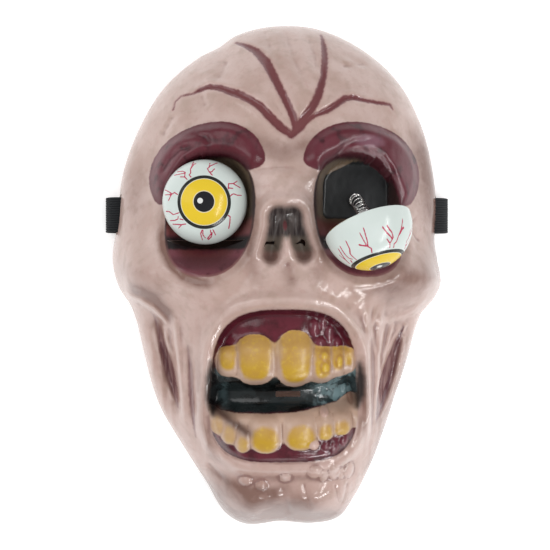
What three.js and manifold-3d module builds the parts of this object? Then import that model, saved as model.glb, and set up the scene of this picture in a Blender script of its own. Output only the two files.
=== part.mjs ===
// A moulded plastic zombie mask with two half-ball eyes on coil springs and an elastic strap.
// Millimetres. It lies face up: the rim is at z = 0, +Z leaves the face, +Y is the top of the head.

import * as THREE from 'three';
import * as BufferGeometryUtils from 'three/addons/utils/BufferGeometryUtils.js';
import Module from 'manifold-3d';

const wasm = await Module();
wasm.setup();

// Driving dimensions of the shell
const WALL = 1.2;
const DEPTH = 66;
const FACE_AXIS = 1;
const SHELL_FULLNESS = 2.5;
const SHELL_ROUNDING = 0.54;

// How finely the shell is faceted
const GRID = 26;
const PASSES = 5;
const FINENESS = 1.12;
const SHORTEST_EDGE = 2.4;
const PLAIN_BORDER = 0.75;

// Driving dimensions of the sockets, eyes and springs
const SOCKET_FLOOR = 35;
const SOCKET_ACROSS = 36.3;
const SPRING_SEAT = { across: 36.3, up: 37.1 };
const STUD = { radius: 2, height: 2.5 };
const EYE_RADIUS = 20;
const EYE_WALL = 1;
const EYE_STUB = { radius: 2, length: 8 };
const SPRING_RADIUS = 2.95;
const WIRE_RADIUS = 0.32;
const FIT_GAP = 0.3;

// Driving dimensions of the strap and its slots
const STRAP_WIDTH = 18;
const STRAP_THICKNESS = 1.2;
const STRAP_UP = 31;
const SLOT = { up: 14, height: 3.4, length: 20.6 };
const RIM_LIFT = 2.4;

// The rim seen from the front, counter-clockwise from the viewer's right
const RIM = [
  [82.8, 19.5], [84.3, 8], [86, -4], [82, -13], [75.4, -20.8], [70.4, -36], [62.6, -61], [56, -81],
  [48.2, -101.2], [40.2, -116.5], [32, -127.4], [18, -130.6], [1, -129.5], [-17, -130.8], [-28, -124.5],
  [-38, -108], [-50.2, -88.8], [-61.6, -69.2], [-69, -45.6], [-73.2, -27.4], [-77.2, -15.9], [-83.4, -6],
  [-86.6, 8], [-84, 28], [-81.4, 52.2], [-73, 76], [-60, 97.8], [-41, 114.4], [-31.2, 119.4], [-21, 126.2],
  [0, 131], [21.6, 129.3], [44.8, 118.6], [63, 102.4], [75.4, 79.9], [81.6, 56.4], [83.7, 38],
];

// Swellings and hollows of the face. across is counted from the face's axis.
const swell = (height, across, up, halfWidth, halfHeight, turn = 0) =>
  ({ height, across, up, halfWidth, halfHeight, turn });
const MIDDLE_SWELLS = {
  forehead: swell(3.5, -1, 86, 46, 24),
  frown: swell(-2, 0, 66, 8, 14),
  noseRoot: swell(2, 0, 48, 12, 10),
  noseBridge: swell(5.5, 0, 26, 14, 22),
  noseTip: swell(1.5, 0, 33, 8, 6),
  upperJaw: swell(5, 0, -8, 24, 12),
  muzzle: swell(8, 0, -72, 36, 26),
  chin: swell(8, 0, -110, 30, 15),
  chinFold: swell(-3.5, 0, -98, 34, 5.5),
};
const PAIRED_SWELLS = {
  temple: swell(-6, 71, 48, 14, 26),
  cheekbone: swell(8, 62, 0, 20, 11, -12),
  cheekboneEnd: swell(7, 79, 0, 12, 12),
  underEye: swell(3, 38, -8, 20, 9),
  cheekHollow: swell(-12, 55, -48, 10, 26, 8),
  underCheekbone: swell(-6.5, 65, -26, 12, 8, -20),
  chinLobe: swell(5, 18, -117, 9, 10),
};

// The sockets and their lids are carved by hand, so the two sides differ a little
const LEFT_SIDE = {
  opening: { across: 35, halfWidth: 21.2 },
  lid: { across: 36.9, up: 49.5, halfWidth: 28.7, halfHeight: 22.4, turn: -16 },
};
const RIGHT_SIDE = {
  opening: { across: 36, halfWidth: 22.2 },
  lid: { across: 38.8, up: 50.2, halfWidth: 30.3, halfHeight: 22.7, turn: -5 },
};

// Tendons that stand out beside the mouth, and the grooves between them, which go down
const TENDONS = [
  { height: 2.8, width: 2.2, route: [[-53, -14], [-51.5, -38], [-49.5, -58], [-47, -86]] },
  { height: -3.8, width: 3, route: [[-62.5, -18], [-59, -38], [-55.5, -53], [-51, -68]] },
  { height: -2.4, width: 2.4, route: [[-45.5, -30], [-44.5, -42], [-43, -55], [-42.5, -74]] },
  { height: 2.6, width: 1.9, route: [[39.5, -12], [40.5, -30], [41, -50], [42, -86]] },
  { height: 2.6, width: 2.1, route: [[46.5, -12], [47, -30], [47.5, -50], [46.5, -86]] },
  { height: -4, width: 3.2, route: [[60.5, -26], [59, -40], [56, -53], [50, -70]] },
];

// Teeth: centre across and up, half width, half height. Neighbours melt into one row.
const tooth = (across, up, halfWidth, halfHeight) => ({ across, up, halfWidth, halfHeight });
const UPPER_TEETH = [
  tooth(-25.5, -40.8, 4.6, 6.8), tooth(-12.6, -39.8, 8.6, 11.6), tooth(6.2, -39.4, 8.2, 13.2),
  tooth(19, -42.5, 4.7, 8.6), tooth(26.4, -40.9, 3.4, 6.6), tooth(31.6, -40.4, 2.6, 5.6),
];
const LOWER_TEETH = [
  tooth(-30.4, -68.6, 3.8, 6.6), tooth(-24.6, -72.6, 3.6, 6.8), tooth(-18.4, -77, 3.3, 6),
  tooth(-8, -74.2, 7.4, 8.8), tooth(8.8, -73.2, 7.9, 8.4), tooth(20.5, -71.3, 4.1, 5.8),
  tooth(28.6, -70, 4.6, 5.4),
];
const TOOTH_PROUD = 3.6;
const TOOTH_MARGIN = 0.9;
const TOOTH_BLEND = 0.8;

const clamp01 = (value) => Math.min(1, Math.max(0, value));
const smoothStep = (from, to, value) => {
  const t = clamp01((value - from) / (to - from));
  return t * t * (3 - 2 * t);
};
const mix = (a, b, t) => a + (b - a) * t;
const softMin = (a, b, blend) => {
  const t = clamp01(0.5 + (0.5 * (b - a)) / blend);
  return mix(b, a, t) - blend * t * (1 - t);
};
const softMax = (a, b, blend) => -softMin(-a, -b, blend);
const bell = (distance, width) => Math.exp(-((distance / width) ** 2));

function swelling({ height, across, up, halfWidth, halfHeight, turn }, x, y) {
  const angle = THREE.MathUtils.degToRad(turn);
  const u = ((x - across) * Math.cos(angle) + (y - up) * Math.sin(angle)) / halfWidth;
  const v = ((y - up) * Math.cos(angle) - (x - across) * Math.sin(angle)) / halfHeight;
  return height * Math.exp(-(u * u + v * v));
}

// Nearest distance to a polyline, and the share of the polyline at that place
function alongRoute(route, x, y) {
  let nearest = Infinity;
  let share = 0;
  for (let i = 0; i + 1 < route.length; i += 1) {
    const [x0, y0] = route[i];
    const [dx, dy] = [route[i + 1][0] - x0, route[i + 1][1] - y0];
    const t = clamp01(((x - x0) * dx + (y - y0) * dy) / (dx * dx + dy * dy));
    const distance = Math.hypot(x - x0 - t * dx, y - y0 - t * dy);
    if (distance < nearest) {
      nearest = distance;
      share = (i + t) / (route.length - 1);
    }
  }
  return { distance: nearest, share };
}

// Distance outside a rounded oval, negative inside
function ovalDistance(dx, dy, halfWidth, halfHeight, squareness) {
  const size = Math.hypot(
    Math.abs(dx / halfWidth) ** (squareness / 2),
    Math.abs(dy / halfHeight) ** (squareness / 2),
  ) ** (2 / squareness);
  const reach = Math.hypot(dx, dy);
  return size > 1e-6 ? reach * (1 - 1 / size) : -Math.min(halfWidth, halfHeight);
}

// Distance outside a box with rounded corners, negative inside
function roundedBoxDistance(dx, dy, halfWidth, halfHeight, corner) {
  const qx = Math.abs(dx) - halfWidth + corner;
  const qy = Math.abs(dy) - halfHeight + corner;
  return Math.hypot(Math.max(qx, 0), Math.max(qy, 0)) + Math.min(Math.max(qx, qy), 0) - corner;
}

// A row of teeth: each a crowned mound, with shallow dips between neighbours
function toothRowHeight(teeth, x, y) {
  const mounds = teeth.map(({ across, up, halfWidth, halfHeight }) => {
    const outward = Math.abs((x - across) / (halfWidth + TOOTH_MARGIN)) ** 2.6
      + Math.abs((y - up) / (halfHeight + TOOTH_MARGIN)) ** 2.6;
    return TOOTH_PROUD * clamp01(1 - outward) ** 0.75;
  });
  return mounds.reduce((a, b) => softMax(a, b, TOOTH_BLEND));
}

// The rim's distance from the middle as a smooth function of the angle
const rimKnots = RIM
  .map(([x, y]) => ({ angle: Math.atan2(y, x), reach: Math.hypot(x, y) }))
  .sort((a, b) => a.angle - b.angle);

function rimKnot(index) {
  const count = rimKnots.length;
  const turns = Math.floor(index / count);
  const knot = rimKnots[index - turns * count];
  return { angle: knot.angle + turns * 2 * Math.PI, reach: knot.reach };
}

function rimReach(angle) {
  let index = rimKnots.findIndex((knot) => knot.angle > angle) - 1;
  if (index === -2) index = rimKnots.length - 1;
  const [before, start, end, after] = [-1, 0, 1, 2].map((step) => rimKnot(index + step));
  const span = end.angle - start.angle;
  const startSlope = (end.reach - before.reach) / (end.angle - before.angle);
  const endSlope = (after.reach - start.reach) / (after.angle - start.angle);
  const t = (angle - start.angle) / span;
  return (2 * t ** 3 - 3 * t ** 2 + 1) * start.reach + (t ** 3 - 2 * t ** 2 + t) * span * startSlope
    + (3 * t ** 2 - 2 * t ** 3) * end.reach + (t ** 3 - t ** 2) * span * endSlope;
}

function socketOpening(u, y) {
  const { across, halfWidth } = (u < 0 ? LEFT_SIDE : RIGHT_SIDE).opening;
  return ovalDistance(Math.abs(u) - across - 0.1 * (28 - y), y - 28, halfWidth, 29, 2.35);
}

function socketFloor(across, y) {
  const [top, bottom, halfWidth] = [55.5, 28, 16];
  const corner = y > 41 ? 12 : 2.5;
  const middle = (top + bottom) / 2;
  return roundedBoxDistance(across - SOCKET_ACROSS, y - middle, halfWidth, (top - bottom) / 2, corner);
}

// The puffed upper lid: a crescent between an outer oval and the socket's opening
function lidDistance(u, y) {
  const { across, up, halfWidth, halfHeight, turn } = (u < 0 ? LEFT_SIDE : RIGHT_SIDE).lid;
  const place = new THREE.Vector2(Math.abs(u) - across, y - up)
    .rotateAround(new THREE.Vector2(), -THREE.MathUtils.degToRad(turn));
  const outer = ovalDistance(place.x, place.y, halfWidth, halfHeight, 2.15);
  const lowerEnds = -0.936 * (y - 49.3 + 0.374 * (Math.abs(u) - 14.5));
  return softMax(softMax(outer, lowerEnds, 4), -socketOpening(u, y) - 0.8, 2);
}

// The mouth is wider and squarer low down, where the jaw gapes
function mouthOpening(u, y) {
  const low = smoothStep(-46, -66, y);
  return ovalDistance(u - 0.2, y + 52, 35 + 1.6 * low, 37, 2.9 + low);
}

// The nose hollow: two legs under a short bar
function noseDistance(u, y) {
  const leftLeg = alongRoute([[-2.6, 27], [-6.2, 9.5]], u, y).distance - 4.3;
  const rightLeg = alongRoute([[3.4, 27], [8.8, 10.5]], u, y).distance - 4.5;
  const bar = alongRoute([[-3, 27], [4, 27]], u, y).distance - 4.6;
  return softMin(softMin(leftLeg, rightLeg, 1), bar, 2);
}

function mouthInside(u, y) {
  const dentalArch = 60 - 12 * (u / 34) ** 2;
  const upperRow = 3.4 * Math.exp(-(((y + 40) / 9.6) ** 4));
  const lowerRow = 3.4 * Math.exp(-(((y + 73) / 9) ** 4));
  const throat = -7.4 * Math.exp(-(((y + 57.5 - 0.05 * u) / 6.2) ** 4));
  const gums = 2 * bell(y + 24, 7) + 1.5 * bell(y + 86, 5);
  const teeth = toothRowHeight(UPPER_TEETH, u + FACE_AXIS, y) + toothRowHeight(LOWER_TEETH, u + FACE_AXIS, y);
  return dentalArch + upperRow + lowerRow + throat + gums + teeth;
}

// Height of the outer surface over the plane of the rim
function faceHeight(x, y) {
  const share = Math.hypot(x, y) / rimReach(Math.atan2(y, x));
  if (share >= 1) return 0;
  const u = x - FACE_AXIS;
  const across = Math.abs(u);
  const edge = 1 - share ** SHELL_FULLNESS;
  const fade = smoothStep(0, 0.42, edge);
  let relief = 0;
  for (const one of Object.values(MIDDLE_SWELLS)) relief += swelling(one, u, y);
  for (const one of Object.values(PAIRED_SWELLS)) relief += swelling(one, across, y);
  relief += 4 * smoothStep(0.6, -5.5, lidDistance(u, y));
  relief += 1.5 * bell(socketOpening(u, y) - 4, 3) * (1 - smoothStep(14, 24, y));
  relief += 4 * bell(mouthOpening(u, y) - 3.4, 3.6);
  for (const { height, width, route } of TENDONS) {
    const near = alongRoute(route, u, y);
    const ends = smoothStep(0, 0.2, near.share) * (1 - smoothStep(0.75, 1, near.share));
    relief += height * bell(near.distance, width) * ends;
  }
  let z = DEPTH * edge ** SHELL_ROUNDING + relief * fade;

  const opening = socketOpening(u, y);
  if (opening < 0) {
    const fromFloor = Math.max(socketFloor(across, y), 0);
    const climb = 1 - (1 - fromFloor / (fromFloor - opening)) ** 1.5;
    z = mix(SOCKET_FLOOR, z, climb);
  }
  const lips = mouthOpening(u, y);
  if (lips < 0.3) z = mix(mouthInside(u, y), z, smoothStep(-4.6, 0.3, lips));
  const nose = noseDistance(u, y);
  z -= 8.5 * (1 - smoothStep(-4.2, 1.6, nose));
  z += 2 * bell(nose - 3, 2.4) * smoothStep(2, 12, y);
  return Math.max(z, 0);
}

// Height of the inner surface: the outer one moved in by the wall
function hollowHeight(x, y) {
  let lowest = faceHeight(x, y) - WALL;
  for (const step of [0.5, 0.85, 1]) {
    const drop = WALL * Math.sqrt(1 - step * step);
    for (let turn = 0; turn < 8; turn += 1) {
      const angle = (turn * Math.PI) / 4;
      const [dx, dy] = [step * WALL * Math.cos(angle), step * WALL * Math.sin(angle)];
      lowest = Math.min(lowest, faceHeight(x + dx, y + dy) - drop);
    }
  }
  return Math.max(lowest, 0);
}

// The rim rises a little where the strap passes under it
const rimLift = (y) => RIM_LIFT * Math.exp(-(((y - STRAP_UP) / (0.62 * STRAP_WIDTH + 4)) ** 6));

// A place on the face by its grid coordinates, both from -1 to 1, with the rim at the border
function surfacePoint([u, v], inner) {
  const disc = new THREE.Vector2(u * Math.sqrt(1 - (v * v) / 2), v * Math.sqrt(1 - (u * u) / 2));
  const even = disc.length();
  const angle = disc.angle();
  const reach = rimReach(angle > Math.PI ? angle - 2 * Math.PI : angle);
  const onRim = Math.abs(u) === 1 || Math.abs(v) === 1;
  const share = onRim ? 1 : mix(even, Math.sin((Math.PI / 2) * even), 0.5);
  const radius = reach * share - (inner ? WALL * share ** 8 : 0);
  const [x, y] = [radius * Math.cos(angle), radius * Math.sin(angle)];
  if (onRim) return [x, y, Math.abs(x) > 60 ? rimLift(y) : 0];
  return [x, y, inner ? hollowHeight(x, y) : faceHeight(x, y)];
}

// Triangles over the grid, halved along their longest edges until they follow the relief
function shellMesh() {
  const places = [];
  const outer = [];
  const addPlace = (place) => {
    outer.push(new THREE.Vector3(...surfacePoint(place, false)));
    return places.push(place) - 1;
  };
  for (let row = 0; row <= GRID; row += 1) {
    for (let column = 0; column <= GRID; column += 1) {
      addPlace([(2 * column) / GRID - 1, (2 * row) / GRID - 1]);
    }
  }
  let faces = [];
  for (let row = 0; row < GRID; row += 1) {
    for (let column = 0; column < GRID; column += 1) {
      const a = row * (GRID + 1) + column;
      const [b, c, d] = [a + 1, a + GRID + 2, a + GRID + 1];
      faces.push([a, b, c], [a, c, d]);
    }
  }
  const middles = new Map();
  const edgeKey = (a, b) => Math.min(a, b) * 1e6 + Math.max(a, b);
  const middleOf = (a, b) => {
    const key = edgeKey(a, b);
    if (!middles.has(key)) middles.set(key, addPlace([0, 1].map((k) => (places[a][k] + places[b][k]) / 2)));
    return middles.get(key);
  };
  const lengthOf = (a, b) => Math.hypot(outer[a].x - outer[b].x, outer[a].y - outer[b].y);
  const nearRim = (index) => Math.max(...places[index].map(Math.abs)) > PLAIN_BORDER;
  const needsMiddle = (a, b) => {
    const run = lengthOf(a, b);
    if (run < SHORTEST_EDGE || (nearRim(a) && nearRim(b))) return false;
    const steepness = Math.abs(outer[a].z - outer[b].z) / run;
    const chord = outer[a].clone().lerp(outer[b], 0.5);
    const error = faceHeight(chord.x, chord.y) - chord.z;
    return Math.abs(error) / Math.hypot(1, steepness) > FINENESS;
  };
  const startAtLongest = (face) => {
    const turned = [0, 1, 2].map((turn) => [0, 1, 2].map((k) => face[(k + turn) % 3]));
    return turned.reduce((best, one) => (lengthOf(one[0], one[1]) > lengthOf(best[0], best[1]) ? one : best));
  };
  const verdicts = new Map();
  for (let pass = 0; pass < PASSES; pass += 1) {
    faces = faces.map(startAtLongest);
    const marked = new Set();
    for (const [a, b, c] of faces) {
      for (const [from, to] of [[a, b], [b, c], [c, a]]) {
        const key = edgeKey(from, to);
        if (!verdicts.has(key)) verdicts.set(key, needsMiddle(from, to));
        if (verdicts.get(key)) marked.add(key);
      }
    }
    for (let before = -1; before !== marked.size;) {
      before = marked.size;
      for (const [a, b, c] of faces) {
        if (marked.has(edgeKey(b, c)) || marked.has(edgeKey(c, a))) marked.add(edgeKey(a, b));
      }
    }
    faces = faces.flatMap(([a, b, c]) => {
      if (!marked.has(edgeKey(a, b))) return [[a, b, c]];
      const m = middleOf(a, b);
      const halves = [];
      if (marked.has(edgeKey(b, c))) halves.push([m, b, middleOf(b, c)], [m, middleOf(b, c), c]);
      else halves.push([m, b, c]);
      if (marked.has(edgeKey(c, a))) halves.push([a, m, middleOf(c, a)], [m, c, middleOf(c, a)]);
      else halves.push([a, m, c]);
      return halves;
    });
  }
  return { places, outer, faces };
}

function shellGeometry() {
  const { places, outer, faces } = shellMesh();
  const inner = places.map((place) => new THREE.Vector3(...surfacePoint(place, true)));
  const index = [];
  const openEdges = new Map();
  for (const [a, b, c] of faces) {
    index.push(a, b, c, a + places.length, c + places.length, b + places.length);
    for (const [from, to] of [[a, b], [b, c], [c, a]]) {
      const twin = `${to} ${from}`;
      if (openEdges.has(twin)) openEdges.delete(twin);
      else openEdges.set(`${from} ${to}`, [from, to]);
    }
  }
  for (const [from, to] of openEdges.values()) {
    index.push(from, from + places.length, to, to, from + places.length, to + places.length);
  }
  const geometry = new THREE.BufferGeometry().setFromPoints([...outer, ...inner]);
  geometry.setIndex(index);
  return geometry;
}

function toSolid(geometry) {
  const plain = geometry.clone();
  plain.deleteAttribute('normal');
  plain.deleteAttribute('uv');
  const merged = BufferGeometryUtils.mergeVertices(plain, 1e-4);
  return new wasm.Manifold(new wasm.Mesh({
    numProp: 3,
    vertProperties: new Float32Array(merged.attributes.position.array),
    triVerts: new Uint32Array(merged.index.array),
  }));
}

function toGeometry(solid) {
  const mesh = solid.getMesh();
  const geometry = new THREE.BufferGeometry();
  geometry.setAttribute('position', new THREE.BufferAttribute(new Float32Array(mesh.vertProperties), 3));
  geometry.setIndex(new THREE.BufferAttribute(new Uint32Array(mesh.triVerts), 1));
  geometry.computeVertexNormals();
  return geometry;
}

// An upright prism over a flat outline
function prism(outline, bottom, top) {
  const shape = new THREE.Shape(outline.map(([x, y]) => new THREE.Vector2(x, y)));
  const geometry = new THREE.ExtrudeGeometry(shape, { depth: top - bottom, bevelEnabled: false });
  return geometry.translate(0, 0, bottom);
}

// The crescent to see through, under the eye: straight above, curved below
function sightSlitOutline(side) {
  const [middle, halfWidth, top, sag] = [36.9, 18.5, 16.4, 4.1];
  const outline = [];
  for (let step = 0; step <= 10; step += 1) {
    const t = (2 * step) / 10 - 1;
    outline.push([FACE_AXIS + side * (middle + halfWidth * t), top - sag * (1 - t * t)]);
  }
  return side > 0 ? outline : outline.reverse();
}

const boxOutline = (x, y, halfWidth, halfHeight) => [
  [x - halfWidth, y - halfHeight], [x + halfWidth, y - halfHeight],
  [x + halfWidth, y + halfHeight], [x - halfWidth, y + halfHeight],
];

// Where the outer surface stands at a given height beside the strap
function wallAcross(side, height) {
  let [low, high] = [40, 90];
  for (let step = 0; step < 40; step += 1) {
    const middle = (low + high) / 2;
    if (faceHeight(side * middle, STRAP_UP) > height) low = middle;
    else high = middle;
  }
  return low;
}

function makeShell() {
  let shell = toSolid(shellGeometry());
  for (const side of [-1, 1]) {
    shell = shell.subtract(toSolid(prism(sightSlitOutline(side), 10, 90)));
    const slot = new THREE.BoxGeometry(24, SLOT.length, SLOT.height);
    slot.translate(side * wallAcross(side, SLOT.up), STRAP_UP, SLOT.up);
    shell = shell.subtract(toSolid(slot));
    const stud = new THREE.CylinderGeometry(STUD.radius, STUD.radius, STUD.height + WALL / 2, 12);
    stud.rotateX(Math.PI / 2);
    stud.translate(FACE_AXIS + side * SPRING_SEAT.across, SPRING_SEAT.up, SOCKET_FLOOR + STUD.height / 2 - WALL / 4);
    shell = shell.add(toSolid(stud));
  }
  shell = shell.subtract(toSolid(prism(boxOutline(-4.6, 14.7, 2.5, 1.1), 30, 90)));
  shell = shell.subtract(toSolid(prism(boxOutline(8.8, 14.9, 2.2, 1.3), 30, 90)));
  shell = shell.subtract(toSolid(prism(boxOutline(3.2, -56.6, 5.9, 1.3), 30, 90)));
  return toGeometry(shell);
}

// A half ball with its pole on +Z and its rim at z = 0, and a stub inside for the spring
function eyeballGeometry() {
  const [steps, segments] = [5, 18];
  const arc = (radius, from, to) => Array.from({ length: steps + 1 }, (_, step) => {
    const angle = mix(from, to, step / steps);
    return new THREE.Vector2(radius * Math.cos(angle), radius * Math.sin(angle));
  });
  const inner = EYE_RADIUS - EYE_WALL;
  const stubAngle = Math.acos(EYE_STUB.radius / inner);
  const profile = [
    new THREE.Vector2(0, inner - EYE_STUB.length),
    new THREE.Vector2(EYE_STUB.radius, inner - EYE_STUB.length),
    ...arc(inner, stubAngle, 0),
    ...arc(EYE_RADIUS, 0, Math.PI / 2),
  ];
  profile[profile.length - 1].x = 0;
  return toGeometry(toSolid(new THREE.LatheGeometry(profile, segments).rotateX(Math.PI / 2)));
}

// A wire wound round a centre line
class CoilCurve extends THREE.Curve {
  constructor(centreLine, turns, radius) {
    super();
    this.centreLine = centreLine;
    this.turns = turns;
    this.radius = radius;
  }

  getPoint(t, target = new THREE.Vector3()) {
    const middle = this.centreLine.getPointAt(t);
    const along = this.centreLine.getTangentAt(t);
    const side = new THREE.Vector3(1, 0, 0).projectOnPlane(along).normalize();
    const other = new THREE.Vector3().crossVectors(along, side);
    const angle = t * this.turns * 2 * Math.PI;
    return target.copy(middle)
      .addScaledVector(side, this.radius * Math.cos(angle))
      .addScaledVector(other, this.radius * Math.sin(angle));
  }
}

function springGeometry(centreLine, turns) {
  const section = new THREE.Shape(boxOutline(0, 0, WIRE_RADIUS, WIRE_RADIUS)
    .map(([x, y]) => new THREE.Vector2(x, y)));
  const coil = new CoilCurve(centreLine, turns, SPRING_RADIUS);
  return new THREE.ExtrudeGeometry(section, { steps: turns * 7, bevelEnabled: false, extrudePath: coil });
}

// A flat band of the strap's thickness along a line in the XZ plane
function bandSolid(line, closed) {
  const half = STRAP_THICKNESS / 2;
  const count = line.length;
  const offset = (distance) => line.map(([x, z], i) => {
    const before = closed || i > 0 ? line[(i + count - 1) % count] : line[i];
    const after = closed || i < count - 1 ? line[(i + 1) % count] : line[i];
    const along1 = new THREE.Vector2(x - before[0], z - before[1]);
    const along2 = new THREE.Vector2(after[0] - x, after[1] - z);
    if (along1.length() === 0) along1.copy(along2);
    if (along2.length() === 0) along2.copy(along1);
    const normal = along1.normalize().add(along2.normalize()).normalize();
    const mitre = distance / Math.max(0.5, normal.dot(along2));
    return new THREE.Vector2(x + normal.y * mitre, z - normal.x * mitre);
  });
  const shape = closed
    ? new THREE.Shape(offset(half))
    : new THREE.Shape([...offset(half), ...offset(-half).reverse()]);
  if (closed) shape.holes.push(new THREE.Path(offset(-half)));
  const geometry = new THREE.ExtrudeGeometry(shape, { depth: STRAP_WIDTH, bevelEnabled: false });
  geometry.rotateX(Math.PI / 2);
  geometry.translate(0, STRAP_UP + STRAP_WIDTH / 2, 0);
  return toSolid(geometry);
}

function makeStrap() {
  const floor = STRAP_THICKNESS / 2;
  const ends = {};
  let strap = null;
  for (const side of [-1, 1]) {
    const wall = wallAcross(side, SLOT.up);
    const rim = rimReach(Math.atan2(STRAP_UP, side * 84)) * Math.cos(Math.atan2(STRAP_UP, 84));
    const loop = [
      [rim - 9, floor], [rim, floor], [rim + 4.2, 1.6], [rim + 5.4, 5], [rim + 4.8, 9.4],
      [rim + 2.2, 12.8], [wall, SLOT.up], [wall - 4.4, 13.2], [wall - 6.4, 10], [rim - 9.6, 3],
    ].map(([x, z]) => [side * x, z]);
    const band = bandSolid(side > 0 ? loop : loop.reverse(), true);
    strap = strap ? strap.add(band) : band;
    ends[side] = side * (rim - 7);
  }
  const layer = STRAP_THICKNESS + 0.6;
  const [foldRight, foldLeft] = [34, -22];
  strap = strap.add(bandSolid([
    [ends[-1], floor], [foldRight, floor], [foldRight + 1.2, floor + layer / 2],
    [foldRight, floor + layer], [foldLeft, floor + layer], [foldLeft - 1.2, floor + 1.5 * layer],
    [foldLeft, floor + 2 * layer], [48, floor + 2 * layer], [62, floor], [ends[1], floor],
  ], false));
  return toGeometry(strap);
}

const mask = new THREE.Group();

function addPart(name, geometry, color, roughness, metalness = 0) {
  const mesh = new THREE.Mesh(geometry, new THREE.MeshStandardMaterial({ color, roughness, metalness }));
  mesh.name = name;
  return mesh;
}

const SKIN = 0xbea098;
const EYE_WHITE = 0xdde8e4;
const STEEL = 0x9a9c9e;
const BLACK_ELASTIC = 0x17181a;

mask.add(addPart('mask_shell', makeShell(), SKIN, 0.35));
mask.add(addPart('elastic_strap', makeStrap(), BLACK_ELASTIC, 0.9));

// The eye on the viewer's left sits straight over its socket
const leftSeat = new THREE.Vector3(FACE_AXIS - SPRING_SEAT.across, SPRING_SEAT.up, SOCKET_FLOOR + FIT_GAP);
const leftEye = new THREE.Vector3(-36.2, 34.4, 56);
const leftPole = leftEye.clone().add(new THREE.Vector3(0, 0, EYE_RADIUS - EYE_WALL - FIT_GAP));
const leftLine = new THREE.CubicBezierCurve3(
  leftSeat.clone().add(new THREE.Vector3(0, 0, WIRE_RADIUS)),
  leftSeat.clone().add(new THREE.Vector3(0, 0, 16)),
  leftPole.clone().add(new THREE.Vector3(0, 0, -14)),
  leftPole.clone().add(new THREE.Vector3(0, 0, -WIRE_RADIUS)),
);
const leftBall = addPart('left_eyeball', eyeballGeometry(), EYE_WHITE, 0.15);
leftBall.position.copy(leftEye);
mask.add(leftBall);
mask.add(addPart('left_eye_spring', springGeometry(leftLine, 9), STEEL, 0.3, 1));

// The eye on the viewer's right has popped out and droops on its spring
const rightSeat = new THREE.Vector3(FACE_AXIS + SPRING_SEAT.across, SPRING_SEAT.up, SOCKET_FLOOR + FIT_GAP);
const rightEye = new THREE.Vector3(38, 22, 79.5);
const rightGaze = new THREE.Vector3(0.291, -0.907, 0.307).normalize();
const rightPole = rightEye.clone().addScaledVector(rightGaze, EYE_RADIUS - EYE_WALL - FIT_GAP);
const rightLine = new THREE.CurvePath();
rightLine.add(new THREE.CubicBezierCurve3(
  rightSeat.clone().add(new THREE.Vector3(0, 0, WIRE_RADIUS)),
  rightSeat.clone().add(new THREE.Vector3(1, -2.4, 21)),
  rightEye.clone().addScaledVector(rightGaze, -13),
  rightEye,
));
rightLine.add(new THREE.LineCurve3(rightEye, rightPole.clone().addScaledVector(rightGaze, -WIRE_RADIUS)));
const rightBall = addPart('right_eyeball', eyeballGeometry(), EYE_WHITE, 0.15);
rightBall.position.copy(rightEye);
rightBall.quaternion.setFromUnitVectors(new THREE.Vector3(0, 0, 1), rightGaze);
mask.add(rightBall);
mask.add(addPart('right_eye_spring', springGeometry(rightLine, 12), STEEL, 0.3, 1));

export default mask;
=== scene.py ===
# A moulded plastic zombie mask that lies face up: a thin painted shell, two half-ball eyes
# on coil springs, and a black elastic strap. Blender works in metres; forms are worked out in
# millimetres, with the top of the head towards +Y.
import math
from types import SimpleNamespace

import bpy
import numpy as np
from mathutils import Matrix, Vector


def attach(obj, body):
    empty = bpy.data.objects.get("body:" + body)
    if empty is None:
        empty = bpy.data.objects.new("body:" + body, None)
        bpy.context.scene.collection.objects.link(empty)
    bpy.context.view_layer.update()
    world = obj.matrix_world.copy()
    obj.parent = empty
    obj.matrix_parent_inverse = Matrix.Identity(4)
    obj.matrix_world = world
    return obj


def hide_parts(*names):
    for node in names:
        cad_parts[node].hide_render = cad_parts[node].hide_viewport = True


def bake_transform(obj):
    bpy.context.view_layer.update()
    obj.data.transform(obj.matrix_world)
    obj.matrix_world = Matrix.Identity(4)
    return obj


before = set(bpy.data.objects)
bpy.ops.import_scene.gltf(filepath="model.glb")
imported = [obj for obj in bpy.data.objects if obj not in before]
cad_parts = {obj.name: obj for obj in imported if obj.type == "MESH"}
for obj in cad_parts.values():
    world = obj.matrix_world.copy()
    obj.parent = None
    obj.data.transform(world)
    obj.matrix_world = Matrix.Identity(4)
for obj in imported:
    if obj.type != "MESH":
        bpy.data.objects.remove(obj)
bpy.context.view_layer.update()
MM = 0.001

# The camera hangs about half a metre over the face, a little to the left of its middle, and
# looks straight down, as the photograph was taken.
camera_place = Vector((-0.018, 0, 0.52))
camera_target = Vector((-0.0013, 0, 0))
camera_data = bpy.data.cameras.new("camera")
camera_data.sensor_width = 36
camera_data.lens = 64.2
camera = bpy.data.objects.new("camera", camera_data)
camera.location = camera_place
camera.rotation_euler = (0, -math.atan2(camera_target.x - camera_place.x, camera_place.z), 0)
bpy.context.scene.collection.objects.link(camera)
bpy.context.scene.camera = camera

# The shell is one sheet of plastic, vacuum-formed over a carved skull-like face. Its height over
# the rim is the sum of a smooth bowl, broad swellings, and the sockets, nose and mouth sunk in it.
WALL = 1.2
DEPTH = 66
FACE_AXIS = 1
SHELL_FULLNESS = 2.5
SHELL_ROUNDING = 0.54
SOCKET_FLOOR = 35
SOCKET_ACROSS = 36.3
STRAP_WIDTH = 18
STRAP_UP = 31
RIM_LIFT = 2.4
LIFT_SPREAD = 0.62 * STRAP_WIDTH + 4
# A distance beyond everything, and one too small to matter
FAR, TINY = 1e9, 1e-6

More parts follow.
